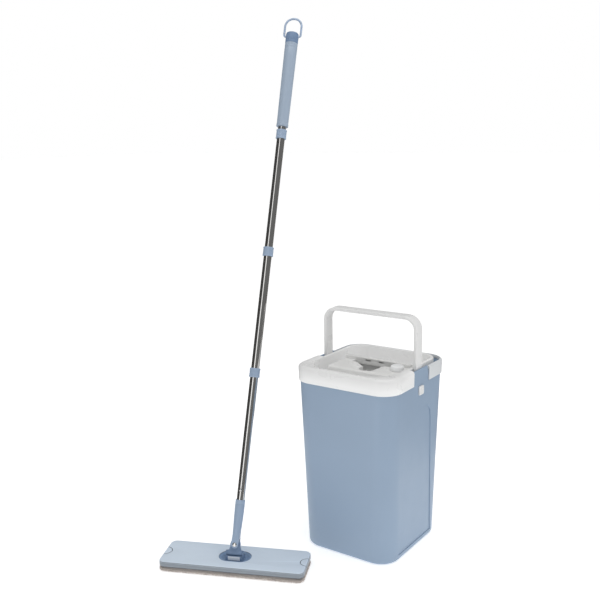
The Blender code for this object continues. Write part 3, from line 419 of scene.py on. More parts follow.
def corner_outline(half_x, half_y, radius, centre=(0.0, 0.0), steps=18, sides=(1, 1)):
    """Counter-clockwise rectangle with round corners, its straight sides divided into sides parts."""
    points = []
    corners = ((1, 1, 0), (-1, 1, 90), (-1, -1, 180), (1, -1, 270))
    for number, (side_x, side_y, start) in enumerate(corners):
        for step in range(steps + 1):
            angle = radians(start + 90 * step / steps)
            x = centre[0] + side_x * (half_x - radius) + radius * cos(angle)
            y = centre[1] + side_y * (half_y - radius) + radius * sin(angle)
            points.append((x, y))
        next_x, next_y, next_start = corners[(number + 1) % 4]
        end_x = centre[0] + next_x * (half_x - radius) + radius * cos(radians(next_start))
        end_y = centre[1] + next_y * (half_y - radius) + radius * sin(radians(next_start))
        parts = sides[number % 2]
        for step in range(1, parts):
            part = step / parts
            points.append((x + (end_x - x) * part, y + (end_y - y) * part))
    return points


def circle(radius, steps=64, centre=(0.0, 0.0)):
    turns = [tau * step / steps for step in range(steps)]
    return [(centre[0] + radius * cos(t), centre[1] + radius * sin(t)) for t in turns]


def arc(centre_a, centre_b, radius, start, end, steps=12):
    angles = [radians(start + (end - start) * step / steps) for step in range(steps + 1)]
    return [(centre_a + radius * cos(t), centre_b + radius * sin(t)) for t in angles]


def quarter(steps):
    """Angles from 0 to 90 degrees."""
    return [radians(90 * step / steps) for step in range(steps + 1)]


AXES = {
    "Z": lambda a, b, c: (a, b, c),
    "X": lambda a, b, c: (c, a, b),
    "Y": lambda a, b, c: (b, c, a),
}


def loft(name, levels, closed=False, place=WORLD, axis="Z"):
    """Skin through outlines with equal counts of points, each given as (outline, height)."""
    bm = bmesh.new()
    turn = AXES[axis]
    rows = [[bm.verts.new(turn(a, b, c)) for a, b in outline] for outline, c in levels]
    skin_rows(bm, rows, closed)
    return object_from(name, bm, place)


def skin_rows(bm, rows, closed):
    pairs = list(zip(rows, rows[1:]))
    if closed:
        pairs.append((rows[-1], rows[0]))
    for low, high in pairs:
        for i, vertex in enumerate(low):
            j = (i + 1) % len(low)
            bm.faces.new((vertex, low[j], high[j], high[i]))
    if not closed:
        bm.faces.new(list(reversed(rows[0])))
        bm.faces.new(rows[-1])


def sweep(name, path, section, closed=False, place=WORLD):
    """Carries a section of (outward, Y) points along a path of (X, Z) points."""
    bm = bmesh.new()
    rows = []
    last = len(path) - 1
    for i, (x, z) in enumerate(path):
        before = path[i - 1 if i or closed else 0]
        after = path[(i + 1) % len(path) if closed else min(last, i + 1)]
        along = (Vector(after) - Vector(before)).normalized()
        row = [bm.verts.new((x - along.y * out, y, z + along.x * out)) for out, y in section]
        rows.append(row)
    skin_rows(bm, rows, closed)
    return object_from(name, bm, place)


def prism(name, outline, low, high, place=WORLD, axis="Z"):
    return loft(name, [(outline, low), (outline, high)], False, place, axis)


def block(name, low, high, place=WORLD):
    outline = [(low[0], low[1]), (high[0], low[1]), (high[0], high[1]), (low[0], high[1])]
    return prism(name, outline, low[2], high[2], place)


def turned(name, profile, place=WORLD, steps=64, axis="Z", centre=(0.0, 0.0), closed=False):
    levels = [(circle(radius, steps, centre), height) for radius, height in profile]
    return loft(name, levels, closed, place, axis)


def settle(obj):
    """Replaces the object's mesh by what its modifiers make of it."""
    graph = bpy.context.evaluated_depsgraph_get()
    mesh = bpy.data.meshes.new_from_object(obj.evaluated_get(graph))
    mesh.name = obj.name
    obj.modifiers.clear()
    obj.data = mesh


def combine(target, operation, *others):
    for other in others:
        step = target.modifiers.new(other.name, "BOOLEAN")
        step.operation = operation
        step.solver = "EXACT"
        step.object = other
    settle(target)
    for other in others:
        bpy.data.objects.remove(other)


def cut(target, *others):
    combine(target, "DIFFERENCE", *others)


def join(target, *others):
    combine(target, "UNION", *others)


def keep(target, other):
    combine(target, "INTERSECT", other)


def soften(obj, width, segments=3, angle=35):
    """Rounds the moulded edges and shades them smoothly."""
    step = obj.modifiers.new("soft_edges", "BEVEL")
    step.width = width
    step.segments = segments
    step.limit_method = "ANGLE"
    step.angle_limit = radians(angle)
    settle(obj)


def present(obj, look, body, *nodes, smooth=35):
    """Gives a finished piece its material, its shading, its body and the CAD nodes it stands for."""
    obj.data.materials.clear()
    obj.data.materials.append(look.material)
    obj.data.shade_smooth()
    obj.data.set_sharp_from_angle(angle=radians(smooth))
    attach(obj, body)
    if nodes:
        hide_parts(*nodes)


def step_between(value, low, high):
    """0 below low, 1 above high and smooth between them."""
    part = max(0.0, min(1.0, (value - low) / (high - low)))
    return part * part * (3 - 2 * part)


# ---- bucket ----
def tub(height, inset=0.0, steps=18, sides=(1, 1)):
    return corner_outline(
        BASE_HALF_X + TAPER_X * height - inset,
        BASE_HALF_Y + TAPER_Y * height - inset,
        max(0.004, BASE_CORNER - TAPER_CORNER * height - inset),
        steps=steps,
        sides=sides,
    )


def rim_height(y, on_side):
    """The rim stands higher along the two ears that carry the bail."""
    if not on_side:
        return RIM_Z
    rise = step_between(y, EAR_FRONT_Y, EAR_FRONT_Y + 0.0025)
    fall = 1 - step_between(y, EAR_BACK_Y - 0.0025, EAR_BACK_Y)
    return RIM_Z + (EAR_Z - RIM_Z) * min(rise, fall)


def side_panel_cutter(side):
    """Shallow arched recess in a side wall, which follows the wall's taper and widens downwards."""
    top, low, high_half, low_half, corner, depth = 0.322, 0.012, 0.054, 0.074, 0.030, 0.0016
    shape = [(-low_half, low), (low_half, low), (high_half + 0.001, top - corner)]
    shape += arc(high_half - corner, top - corner, corner, 0, 90, 24)
    shape += arc(corner - high_half, top - corner, corner, 90, 180, 24)
    shape += [(-high_half - 0.001, top - corner)]
    bm = bmesh.new()
    rows = []
    for out in (-depth, 0.010):
        rows.append([bm.verts.new((side * (tub_half_x(z) + out), y, z)) for y, z in shape])
    skin_rows(bm, rows, False)
    return object_from("side_panel", bm)


def make_bucket(looks):
    spacing, fillet, rim_round = 0.0026, 0.007, 0.0007
    rows = []
    for t in quarter(8):
        rows.append((fillet * (1 - sin(t)), fillet * (1 - cos(t)), 0.0))
    wall_low, wall_high = fillet, 0.3930
    count = ceil((wall_high - wall_low) / spacing)
    rows += [(0.0, wall_low + (wall_high - wall_low) * i / count, 0.0) for i in range(1, count + 1)]
    rows += [(0.0, -rim_round, 1.0), (rim_round * 0.3, -rim_round * 0.3, 1.0), (rim_round, 0.0, 1.0)]
    rows += [(WALL - rim_round, 0.0, 1.0), (WALL, -rim_round, 1.0)]
    rows += [(WALL, 0.385, 0.0), (WALL, 0.30, 0.0), (WALL, 0.15, 0.0), (WALL, 0.012, 0.0)]
    rows += [(WALL + 0.002, 0.0055, 0.0), (WALL + 0.006, 0.0030, 0.0)]
    bm = bmesh.new()
    made = []
    for inset, height, at_rim in rows:
        base = height if not at_rim else RIM_Z
        outline = tub(base, inset, 18, (60, 60))
        row = []
        for x, y in outline:
            on_side = abs(x) > tub_half_x(base) - 0.012
            z = height + (rim_height(y, on_side) if at_rim else 0.0)
            x += (TAPER_X * (z - base)) * (1 if x > 0 else -1) if at_rim and on_side else 0.0
            row.append(bm.verts.new((x, y, z)))
        made.append(row)
    skin_rows(bm, made, False)
    shell = object_from("bucket", bm)
    hole = prism("pivot_hole", circle(PIVOT_HOLE_R, 32, PIVOT), -0.13, 0.13, axis="X")
    cut(shell, hole, side_panel_cutter(-1), side_panel_cutter(1))
    present(shell, looks["blue"], "bucket", "bucket_shell", smooth=50)


def tub_half_x(height):
    return BASE_HALF_X + TAPER_X * height


def make_rear_collar(looks):
    crown, low = 0.005, 0.3760
    levels = [(tub(low, -COLLAR_PROUD + 0.0006), low), (tub(low, -COLLAR_PROUD), low + 0.0006)]
    for t in quarter(8):
        height = 0.4075 - crown * (1 - sin(t))
        levels.append((tub(0.40, -COLLAR_PROUD + crown * (1 - cos(t))), height))
    inner = ((0.0021, 0.4073), (0.0022, 0.4070), (0.0022, RIM_Z + 0.0003), (-0.0006, RIM_Z + 0.0003))
    levels += [(tub(0.40, inset), height) for inset, height in inner]
    levels.append((tub(low, -0.0005), low))
    collar = loft("rear_trim", levels, closed=True)
    keep(collar, block("rear_span", (-0.15, 0.0370, 0.35), (0.15, 0.16, 0.43)))
    soften(collar, 0.0006, 2, 50)
    # the rear collar takes the greyer white, which is painted shade
    present(collar, looks["rear"], "bucket", "rear_collar")


def make_pivot_cap(side, name, looks):
    """Square cap with a soft edge and a shallow round dimple, on its shank."""
    face = tub_half_x(PIVOT_Z) + 0.0004
    half = 0.00975
    sections = ((0.0, 0.0), (0.0, 0.0026), (0.0003, 0.0032), (0.0010, 0.0037), (0.0020, 0.0038))
    levels = []
    for inset, out in sections:
        outline = corner_outline(half - inset, half - inset, 0.0032 - inset * 0.6, PIVOT, 8)
        levels.append((outline, side * (face + out)))
    cap = loft(f"{name}_visible", levels, axis="X")
    dimple = [(0.0035, side * (face + 0.0034)), (0.0050, side * (face + 0.0050))]
    cut(cap, turned("dimple", dimple, axis="X", centre=PIVOT))
    shank = sorted((side * 0.1088, side * (face + 0.001)))
    join(cap, prism("shank", circle(SHANK_R, 32, PIVOT), *shank, axis="X"))
    soften(cap, 0.0003, 2, 30)
    present(cap, looks["white"], "bucket", name)


def make_bail(looks):
    """Flat strap bent into a U, with soft long edges and round feet."""
    outer_x, thickness, corner, half_width = 0.1160, 0.0075, 0.030, 0.0135
    top = 0.5205
    path = [(-(outer_x - thickness / 2), PIVOT_Z + h) for h in (0.0, 0.02, 0.04, 0.06, 0.08, 0.1)]
    middle_r = corner - thickness / 2
    path += arc(-(outer_x - corner), top - corner, middle_r, 180, 90, 16)
    for step in range(1, 24):
        path.append((-(outer_x - corner) + 2 * (outer_x - corner) * step / 24, top - thickness / 2))
    path += arc(outer_x - corner, top - corner, middle_r, 90, 0, 16)
    path += [(outer_x - thickness / 2, PIVOT_Z + h) for h in (0.1, 0.08, 0.06, 0.04, 0.02, 0.0)]
    section = corner_outline(thickness / 2, half_width, 0.0024, (0.0, PIVOT_Y), 6)
    bail = sweep("carry_bail", path, section)
    for side in (-1, 1):
        ends = sorted((side * (outer_x - thickness), side * outer_x))
        join(bail, prism("foot", circle(half_width, 48, PIVOT), *ends, axis="X"))
    cut(bail, prism("bail_hole", circle(PIVOT_HOLE_R, 32, PIVOT), -0.13, 0.13, axis="X"))
    soften(bail, 0.0008, 3, 50)
    present(bail, looks["white"], "bail", "bail_handle", smooth=45)


# ---- wringer insert ----
def ring(inset, steps=18):
    return corner_outline(
        RING_HALF_X - inset, RING_HALF_Y - inset, 0.036 - inset * 0.4, (0.0, RING_CENTRE_Y), steps
    )


def opening(outward=0.0):
    half_x, half_y, corner = 0.0995 + outward, 0.1111 + outward, 0.056 + outward
    return corner_outline(half_x, half_y, corner, (0.0, RING_CENTRE_Y))


def collar_levels(underside, inner_wall):
    crown_in, crown_down, lip = 0.0080, 0.0070, 0.0022
    shoulder = COLLAR_TOP_Z - crown_down
    levels = [
        (tub(COLLAR_LOW_Z, -COLLAR_PROUD + 0.0005), COLLAR_LOW_Z),
        (tub(COLLAR_LOW_Z, -COLLAR_PROUD), COLLAR_LOW_Z + 0.0006),
    ]
    for t in quarter(12):
        inset = -COLLAR_PROUD + crown_in * (1 - cos(t))
        levels.append((tub(0.40, inset), shoulder + crown_down * sin(t)))
    for t in quarter(6)[1:]:
        drop = lip * (1 - cos(t))
        levels.append((opening(lip * (1 - sin(t))), COLLAR_TOP_Z - 0.0002 - drop))
    levels.append((opening(), RIM_Z + 0.0008))
    if inner_wall:
        levels.append((opening(inner_wall), RIM_Z + 0.0008))
        levels.append((opening(inner_wall), underside))
    levels.append((tub(0.40, -0.0010), underside))
    levels.append((tub(COLLAR_LOW_Z, -0.0010), COLLAR_LOW_Z))
    return levels


def make_tray(looks):
    skin, roll = 0.0024, 0.0026
    levels = [(ring(0.0), RING_BOTTOM_Z), (ring(0.0), RING_TOP_Z - roll)]
    for t in quarter(5)[1:]:
        levels.append((ring(roll * (1 - cos(t))), RING_TOP_Z - roll * (1 - sin(t))))
    for t in quarter(5):
        levels.append((ring(RING_LIP - roll * (1 - sin(t))), RING_TOP_Z - roll * (1 - cos(t))))
    levels += [
        (ring(RING_LIP), DECK_Z - DECK_THICKNESS),
        (ring(RING_LIP - skin), DECK_Z - DECK_THICKNESS),
        (ring(RING_LIP - skin), RING_TOP_Z - skin),
        (ring(skin), RING_TOP_Z - skin),
        (ring(skin), RING_BOTTOM_Z),
    ]
    tray = loft("wringer_top", levels, closed=True)
    floor = prism("floor", ring(RING_LIP - 0.0004), DECK_Z - DECK_THICKNESS, DECK_Z)
    collar = loft("front_collar", collar_levels(COLLAR_TOP_Z - 0.0045, skin), closed=True)
    keep(collar, block("span", (-0.15, -0.16, 0.35), (0.15, COLLAR_BACK_Y, 0.43)))
    wall = loft("end_wall", collar_levels(RIM_Z + 0.0008, 0.0), closed=True)
    low = (-0.15, COLLAR_BACK_Y - skin, RIM_Z + 0.0008)
    keep(wall, block("end_span", low, (0.15, COLLAR_BACK_Y, 0.43)))
    join(tray, floor, collar, wall)
    left = [(-0.054, 0.0197), (-0.054, -0.018), (-0.021, -0.018), (-0.021, -0.044)]
    way = [(SLOT_X + x, y) for x, y in left] + [(SLOT_X - x, y) for x, y in reversed(left)]
    cut(tray, prism("floor_way", way, BELOW_DECK_Z, 0.39))
    for place in screw_places():
        cut(tray, prism("screw_hole", circle(SCREW_HOLE_R, 24, place), BELOW_DECK_Z, 0.39))
    cut(tray, prism("shaft_hole", circle(SHAFT_HOLE_R, 32, (KNOB_X, KNOB_Y)), BELOW_DECK_Z, 0.39))
    soften(tray, 0.0007, 3, 40)
    present(tray, looks["white"], "insert", "wringer_tray", "front_collar", smooth=45)


def screw_places():
    return [(SLOT_X + side * 0.0615, y) for side in (-1, 1) for y in (-0.026, 0.0405)]


def platform_profile():
    """Front-to-back section of the raised housing: rounded nose and a finely divided top."""
    front, low, corner, back = PLATFORM_FRONT_Y, DECK_Z + 0.0003, 0.004, SLOT_BACK_Y - 0.0003
    profile = [(front, low), (front, low + 0.008)]
    profile += arc(front + corner, PLATFORM_TOP_Z - corner, corner, 180, 90, 8)
    steps = ceil((back - front - corner) / 0.0010)
    for i in range(1, steps + 1):
        profile.append((front + corner + (back - front - corner) * i / steps, PLATFORM_TOP_Z))
    return [*profile, (back, low)]


def top_shape(x, y):
    """Height of the housing's top: a dip round the pole's notch and a raised lip on each side of it."""
    away = hypot((x - SLOT_X) / 1.25, y - NOTCH_Y if y < NOTCH_Y else (y - NOTCH_Y) * 0.55)
    dip = 0.0042 * (1 - step_between(away, NOTCH_R * 0.92, NOTCH_R + 0.0135))
    beside = abs(x - SLOT_X)
    along = step_between(beside, 0.0185, 0.0290) * (1 - step_between(beside, 0.0525, 0.0545))
    across = step_between(y, SLOT_FRONT_Y - 0.0085, SLOT_FRONT_Y - 0.0035)
    rolled = 1 - 0.25 * step_between(y, SLOT_FRONT_Y - 0.0022, SLOT_FRONT_Y)
    return 0.0040 * along * across * rolled * (y < SLOT_FRONT_Y + 0.0012) - dip


def slot_outline(wall):
    half, radius, front = SLOT_HALF_X + wall, NOTCH_R + wall, SLOT_FRONT_Y - wall
    outline = [(SLOT_X - half, front), (SLOT_X - radius, front)]
    outline += arc(SLOT_X, NOTCH_Y, radius, 180, 360, 40)
    outline += [(SLOT_X + radius, front), (SLOT_X + half, front)]
    return [*outline, (SLOT_X + half, 0.03), (SLOT_X - half, 0.03)]


def make_platform(looks):
    left, right, skin, pitch = PLATFORM_LEFT_X, PLATFORM_RIGHT_X, 0.0024, 0.0010
    profile = platform_profile()
    count = ceil((right - left) / pitch)
    bm = bmesh.new()
    rows = []
    for i in range(count + 1):
        x = left + (right - left) * i / count
        row = []
        for y, z in profile:
            high = step_between(z, DECK_Z + 0.010, PLATFORM_TOP_Z - 0.0005)
            row.append(bm.verts.new((x, y, z + top_shape(x, y) * high)))
        rows.append(row)
    skin_rows(bm, rows, False)
    platform = object_from("slot_housing", bm)
    low, top = 0.367, PLATFORM_TOP_Z - skin - 0.0042
    front, back = PLATFORM_FRONT_Y + skin, SLOT_BACK_Y - skin
    hollow = [(front, low), (front, top), (back, top), (back, low)]
    inside = prism("hollow", hollow, left + skin, right - skin, axis="X")
    cut(inside, prism("slot_walls", slot_outline(0.0018), 0.35, 0.43))
    cut(platform, inside, prism("slot", slot_outline(0.0), BELOW_DECK_Z, ABOVE_INSERT_Z))
    shaft = circle(SHAFT_HOLE_R, 32, (KNOB_X, KNOB_Y))
    cut(platform, prism("shaft", shaft, BELOW_DECK_Z, ABOVE_INSERT_Z))
    soften(platform, 0.0006, 2, 48)
    present(platform, looks["inner_white"], "insert", "slot_platform", smooth=50)


def make_rib(looks):
    """Hollow bar behind the slot: soft crest, and two oval windows into its dark inside."""
    left, right, skin, low = PLATFORM_LEFT_X, PLATFORM_RIGHT_X, 0.0018, DECK_Z + 0.0003
    front, back, top = SLOT_BACK_Y, RIB_BACK_Y, RIB_TOP_Z
    section = [(back, low), *arc(back - 0.0030, top - 0.0030, 0.0030, 0, 90, 8)]
    section += [*arc(front + 0.0014, top - 0.0014, 0.0014, 90, 180, 6), (front, low)]
    rib = prism("slot_bar", section, left, right, axis="X")
    inner = [(back - skin, 0.367), (back - skin, top - 0.0040), (back - 0.0040, top - skin)]
    inner += [(front + skin, top - skin), (front + skin, 0.367)]
    windows = []
    for number, x in enumerate((SLOT_X - 0.0205, SLOT_X + 0.0125)):
        shape = [(z, x) for x, z in corner_outline(0.0070, 0.0021, 0.0020, (x, 0.4022), 8)]
        windows.append(prism(f"window_{number}", shape, 0.015, front + 0.0030, axis="Y"))
    cut(rib, prism("bar_hollow", inner, left + skin, right - skin, axis="X"), *windows)
    way_low, way_high = (SLOT_X - 0.046, 0.015, 0.367), (SLOT_X + 0.046, front + 0.0030, 0.3925)
    cut(rib, block("squeegee_way", way_low, way_high))
    soften(rib, 0.0004, 2, 48)
    present(rib, looks["inner_white"], "insert", "slot_rib", smooth=50)


def make_knob(looks):
    """Low knob with finger flutes round its side and a soft crown."""
    low, flutes, steps = PLATFORM_TOP_Z + 0.0003, 18, 216
    sections = [
        (-0.0006, low, 0.0), (0.0, low + 0.0006, 0.0), (0.0, low + 0.0030, 0.4),
        (0.0, KNOB_TOP_Z - 0.0040, 1.0), (-0.0002, KNOB_TOP_Z - 0.0026, 0.9),
        (-0.0009, KNOB_TOP_Z - 0.0012, 0.5), (-0.0022, KNOB_TOP_Z - 0.0004, 0.1),
        (-0.0040, KNOB_TOP_Z, 0.0), (-0.0060, KNOB_TOP_Z - 0.0002, 0.0),
    ]
    levels = []
    for inset, height, strength in sections:
        outline = []
        for step in range(steps):
            t = tau * step / steps
            radius = KNOB_R + inset - 0.00014 * strength * (1 + cos(flutes * t)) / 2
            outline.append((KNOB_X + radius * cos(t), KNOB_Y + radius * sin(t)))
        levels.append((outline, height))
    knob = loft("wringer_knob", levels)
    # the knob takes the brighter white, which is painted light
    present(knob, looks["knob"], "knob", "selector_knob", smooth=50)


# ---- mop head ----
def head_outline(inset, sides=(90, 24)):
    half_x, half_y = HEAD_LENGTH / 2 - inset, HEAD_WIDTH / 2 - inset
    return corner_outline(half_x, half_y, max(0.003, HEAD_CORNER - inset * 0.5), steps=14, sides=sides)


def stadium(length, width, steps=24):
    return corner_outline(length / 2, width / 2, width / 2 - 0.0005, steps=steps)


def plate_levels():
    """Upright side band, a fine parting line near its top, and a small round at the top's edge."""
    levels = [
        (0.0016, PLATE_Z), (0.0006, PLATE_Z + 0.0003), (0.0, PLATE_Z + 0.0012),
        (0.0, PLATE_Z + 0.0084), (0.0005, PLATE_Z + 0.0088), (0.0005, PLATE_Z + 0.0093),
    ]
    for t in quarter(6):
        levels.append((0.0001 + 0.0020 * (1 - cos(t)), PLATE_TOP_Z - 0.0020 * (1 - sin(t))))
    return levels


def make_plate(looks):
    levels = [(head_outline(inset, (1, 1)), height) for inset, height in plate_levels()]
    plate = loft("mop_plate_top", levels, place=HEAD)
    pocket_z, tab_r, tab_gap = 0.0148, 0.0143, 0.0014
    cut(plate, prism("hinge_pocket", stadium(0.0702, 0.0462), pocket_z, 0.03, HEAD))
    for side, name in ((-1, "left"), (1, "right")):
        end = (side * HEAD_LENGTH / 2, 0.0)
        tab = loft(f"pull_tab_{name}", levels, place=HEAD)
        keep(tab, prism("column", circle(tab_r, 72, end), 0.0173, 0.03, HEAD))
        soften(tab, 0.0005, 3, 40)
        present(tab, looks["plate"], "mop_head", f"end_tab_{name}", smooth=40)
        cut(plate, prism("tab_pocket", circle(tab_r + tab_gap, 72, end), 0.0170, 0.03, HEAD))
    soften(plate, 0.0006, 3, 42)
    present(plate, looks["plate"], "mop_head", "mop_plate", smooth=40)


def make_dish(looks):
    """Soft-edged dish: its rim rolls over into a shallow floor."""
    length, width = 0.0694, 0.0454
    levels = [(stadium(length, width), 0.0151), (stadium(length, width), PLATE_TOP_Z - 0.0010)]
    for step in range(1, 13):
        part = step / 12
        inset = 0.0012 + 0.0090 * part
        depth = 0.0050 * step_between(part, 0.0, 1.0)
        levels.append((stadium(length - 2 * inset, width - 2 * inset), PLATE_TOP_Z - 0.0004 - depth))
    dish = loft("hinge_dish_top", levels, place=HEAD)
    present(dish, looks["dish"], "mop_head", "hinge_dish", smooth=40)


def make_bracket(looks):
    """Dark cradle: a base, two cheeks with round heads, and a light-faced bar at front and back."""
    base_z, foot_z, bar_top = 0.0178, 0.0184, SWING_Z - 0.0025
    bracket = block("pin_cradle", (-0.0195, -0.0105, base_z), (0.0195, 0.0105, base_z + 0.0012), HEAD)
    for side in (-1, 1):
        xs = sorted((side * 0.0165, side * 0.0195))
        crown = arc(0.0, SWING_Z, 0.0055, 0, 180, 24)
        cheek = [(0.0080, foot_z), *crown, (-0.0080, foot_z)]
        join(bracket, prism("cheek", cheek, *xs, HEAD, "X"))
        near, far = sorted((side * 0.0083, side * 0.0105))
        join(bracket, block("bar", (-0.0170, near, foot_z), (0.0170, far, bar_top), HEAD))
        near, far = sorted((side * 0.0107, side * 0.0113))
        low, high = (-0.0130, near, foot_z + 0.0002), (0.0130, far, bar_top - 0.0005)
        face = block(f"cradle_face_{side}", low, high, HEAD)
        soften(face, 0.0002, 2, 30)
        present(face, looks["light"], "mop_head", smooth=40)
    cut(bracket, prism("pin_hole", circle(PIN_HOLE_R, 32, (0.0, SWING_Z)), -0.03, 0.03, HEAD, "X"))
    soften(bracket, 0.0005, 3, 45)
    present(bracket, looks["dark"], "mop_head", "hinge_bracket", smooth=40)


def make_yoke(looks):
    barrel = [(0.0056, -0.0160), (0.0060, -0.0156), (0.0060, 0.0156), (0.0056, 0.0160)]
    yoke = turned("cross_yoke", barrel, YOKE, 48, "X")
    top = arc(0.0, TILT_UP, 0.0105, -20, 200, 32)
    outline = [(-0.0135, 0.001), (0.0135, 0.001), (0.0125, 0.0065), *top, (-0.0125, 0.0065)]
    join(yoke, prism("blade", [(z, x) for x, z in outline], -0.0040, 0.0040, YOKE, "Y"))
    cut(yoke, prism("pin_bore", circle(PIN_HOLE_R, 32), -0.03, 0.03, YOKE, "X"))
    cut(yoke, prism("rivet_bore", circle(RIVET_HOLE_R, 32, (TILT_UP, 0.0)), -0.03, 0.03, YOKE, "Y"))
    soften(yoke, 0.0006, 3, 40)
    present(yoke, looks["dark"], "swing_yoke", "yoke", smooth=40)
    head = [(0.0004, -0.0104), (0.0020, -0.0103), (0.0036, -0.0100), (0.0045, -0.0095)]
    head += [(0.0047, -0.0089), (0.0044, -0.0086), (0.0025, -0.0086)]
    profile = head + [(radius, -y) for radius, y in reversed(head)]
    rivet = turned("tilt_rivet_steel", profile, YOKE, 40, "Y", (TILT_UP, 0.0))
    present(rivet, looks["steel"], "swing_yoke", "tilt_rivet", smooth=50)


# ---- pole ----
def make_socket(looks):
    sections = (
        (0.0072, 0.0080, 0.0012, 0.0112), (0.0075, 0.0083, 0.0016, 0.0118),
        (0.0076, 0.0084, 0.0030, 0.0160), (0.0078, 0.0085, 0.0045, 0.0210),
        (0.0082, 0.0088, 0.0060, 0.0280), (0.0087, 0.0091, 0.0074, 0.0350),
        (0.0092, 0.0094, 0.0086, 0.0430), (0.0096, 0.0097, 0.0094, 0.0500),
        (0.0099, 0.0099, 0.0098, 0.0560), (0.0101, 0.0101, 0.0100, 0.0700),
        (0.0102, 0.0102, 0.0101, 0.0838), (0.0099, 0.0099, 0.0098, 0.0842),
        (0.0099, 0.0099, 0.0098, 0.0848), (0.0103, 0.0103, 0.0102, 0.0853),
        (0.0103, 0.0103, 0.0102, 0.0925), (0.0100, 0.0100, 0.0099, 0.0933),
        (0.0096, 0.0096, 0.0095, SOCKET_TOP),
    )
    levels = [(corner_outline(*sizes, steps=12), height) for *sizes, height in sections]
    socket = loft("foot_socket", levels, place=POLE)
    tip = [(z, x) for x, z in arc(0.0, 0.0, 0.0075, 180, 360, 32)]
    prong = [(0.0122, -0.0075), *tip, (0.0122, 0.0075)]
    for side in (-1, 1):
        ys = sorted((side * 0.0043, side * 0.0083))
        join(socket, prism("prong", prong, *ys, POLE, "Y"))
    cut(socket, prism("socket_bore", circle(TUBE_R + 0.0002, 64), 0.0547, 0.12, POLE))
    cut(socket, prism("fork_hole", circle(RIVET_HOLE_R, 32), -0.03, 0.03, POLE, "Y"))
    soften(socket, 0.0005, 3, 48)
    present(socket, looks["mid"], "pole", "pole_socket", smooth=48)


def make_tubes(looks):
    """Steel sections with rolled ends; each joint shows a fine gap inside its ring."""
    ends = (
        ("tube_lower", 0.0550, 0.3641), ("tube_lower_middle", 0.3647, 0.6297),
        ("tube_upper_middle", 0.6303, 0.8947), ("tube_top", 0.8953, 1.0850),
    )
    wall, bead, band = 0.0006, 0.0003, 0.0010
    for name, low, high in ends:
        profile = [
            (TUBE_R - bead, low), (TUBE_R, low + bead), (TUBE_R, low + band),
            (TUBE_R, high - band), (TUBE_R, high - bead), (TUBE_R - bead, high),
            (TUBE_R - wall, high), (TUBE_R - wall, low),
        ]
        section = turned(f"{name}_steel", profile, POLE, 96, closed=True)
        if name == "tube_lower":
            hole = circle(0.0033, 32, (BUTTON_PLACE, 0.0))
            cut(section, prism("button_hole", hole, -0.02, 0.0, POLE, "Y"))
        present(section, looks["steel"], "pole", name, smooth=50)


def make_joint_rings(looks):
    """Blue collars with a rounded bead at both ends and a shallow waist of fine grooves."""
    half, radius, bore = 0.0100, 0.0117, TUBE_R + 0.0004
    waist = radius - 0.0004
    bead = ((0.0109, 0.0), (0.0115, 0.0002), (radius, 0.0009), (radius, 0.0028), (waist, 0.0034))
    for number, place in enumerate((0.3644, 0.6300, 0.8950), 1):
        profile = [(wide, place - half + up) for wide, up in bead]
        for groove in range(5):
            start = place - 0.0056 + groove * 0.0024
            profile += [(waist, start), (waist, start + 0.0014)]
            profile += [(waist - 0.0003, start + 0.0017), (waist - 0.0003, start + 0.0021)]
        profile += [(wide, place + half - up) for wide, up in reversed(bead)]
        profile += [(bore, place + half), (bore, place - half)]
        collar = turned(f"joint_collar_{number}", profile, POLE, 96, closed=True)
        present(collar, looks["mid"], "pole", f"joint_ring_{number}", smooth=45)


def make_button(looks):
    profile = [(0.0005, -0.0116), (0.0012, -0.01155), (0.0020, -0.0113), (0.0026, -0.0108)]
    profile += [(0.0030, -0.0100), (0.0030, -0.0058), (0.0042, -0.0058), (0.0042, -0.0045)]
    button = turned("spring_button", profile, POLE, 40, "Y", (BUTTON_PLACE, 0.0))
    present(button, looks["steel"], "button", "push_button", smooth=50)


def make_grip(looks):
    """Long grip: a flared lip, a slim waist, a slow swell and two fine rings below the cap."""
    stations = (
        (0.0128, 0.0), (0.0133, 0.0006), (0.0134, 0.0020), (0.0133, 0.0044), (0.0131, 0.0056),
        (0.0128, 0.0068), (0.0128, 0.0100), (0.0130, 0.0300), (0.0133, 0.0600), (0.0135, 0.0900),
        (0.0138, 0.1300), (0.0140, 0.1600), (0.0141, 0.1810), (0.0138, 0.1815), (0.0138, 0.1824),
        (0.0141, 0.1829), (0.0141, 0.1852), (0.0138, 0.1857), (0.0138, 0.1866), (0.0141, 0.1871),
        (0.0141, 0.1917), (0.0140, 0.1925),
    )
    profile = [(radius, GRIP_LOW + up) for radius, up in stations]
    profile += [(TUBE_R + 0.0003, GRIP_TOP), (TUBE_R + 0.0003, GRIP_LOW)]
    grip = turned("hand_grip", profile, POLE, 96, closed=True)
    present(grip, looks["grip"], "pole", "grip", smooth=40)
    low = GRIP_TOP + 0.0003
    foot = ((0.0138, 0.0), (0.0143, 0.0005), (0.0143, 0.0050), (0.0139, 0.0054), (0.0139, 0.0060))
    profile = [(radius, low + up) for radius, up in (*foot, (0.0143, 0.0065), (0.0144, 0.0130))]
    crown = ((0.0143, 0.0050), (0.0140, 0.0030), (0.0134, 0.0014), (0.0124, 0.0004), (0.0104, 0.0))
    profile += [(radius, CAP_TOP - down) for radius, down in crown]
    cap = turned("grip_end_cap", profile, POLE, 96)
    bar_z = CAP_TOP - 0.0080
    cut(cap, prism("loop_hole", circle(0.0028, 32, (0.0, bar_z)), -0.02, 0.02, POLE, "X"))
    soften(cap, 0.0003, 2, 40)
    present(cap, looks["dark"], "pole", "end_cap", smooth=40)


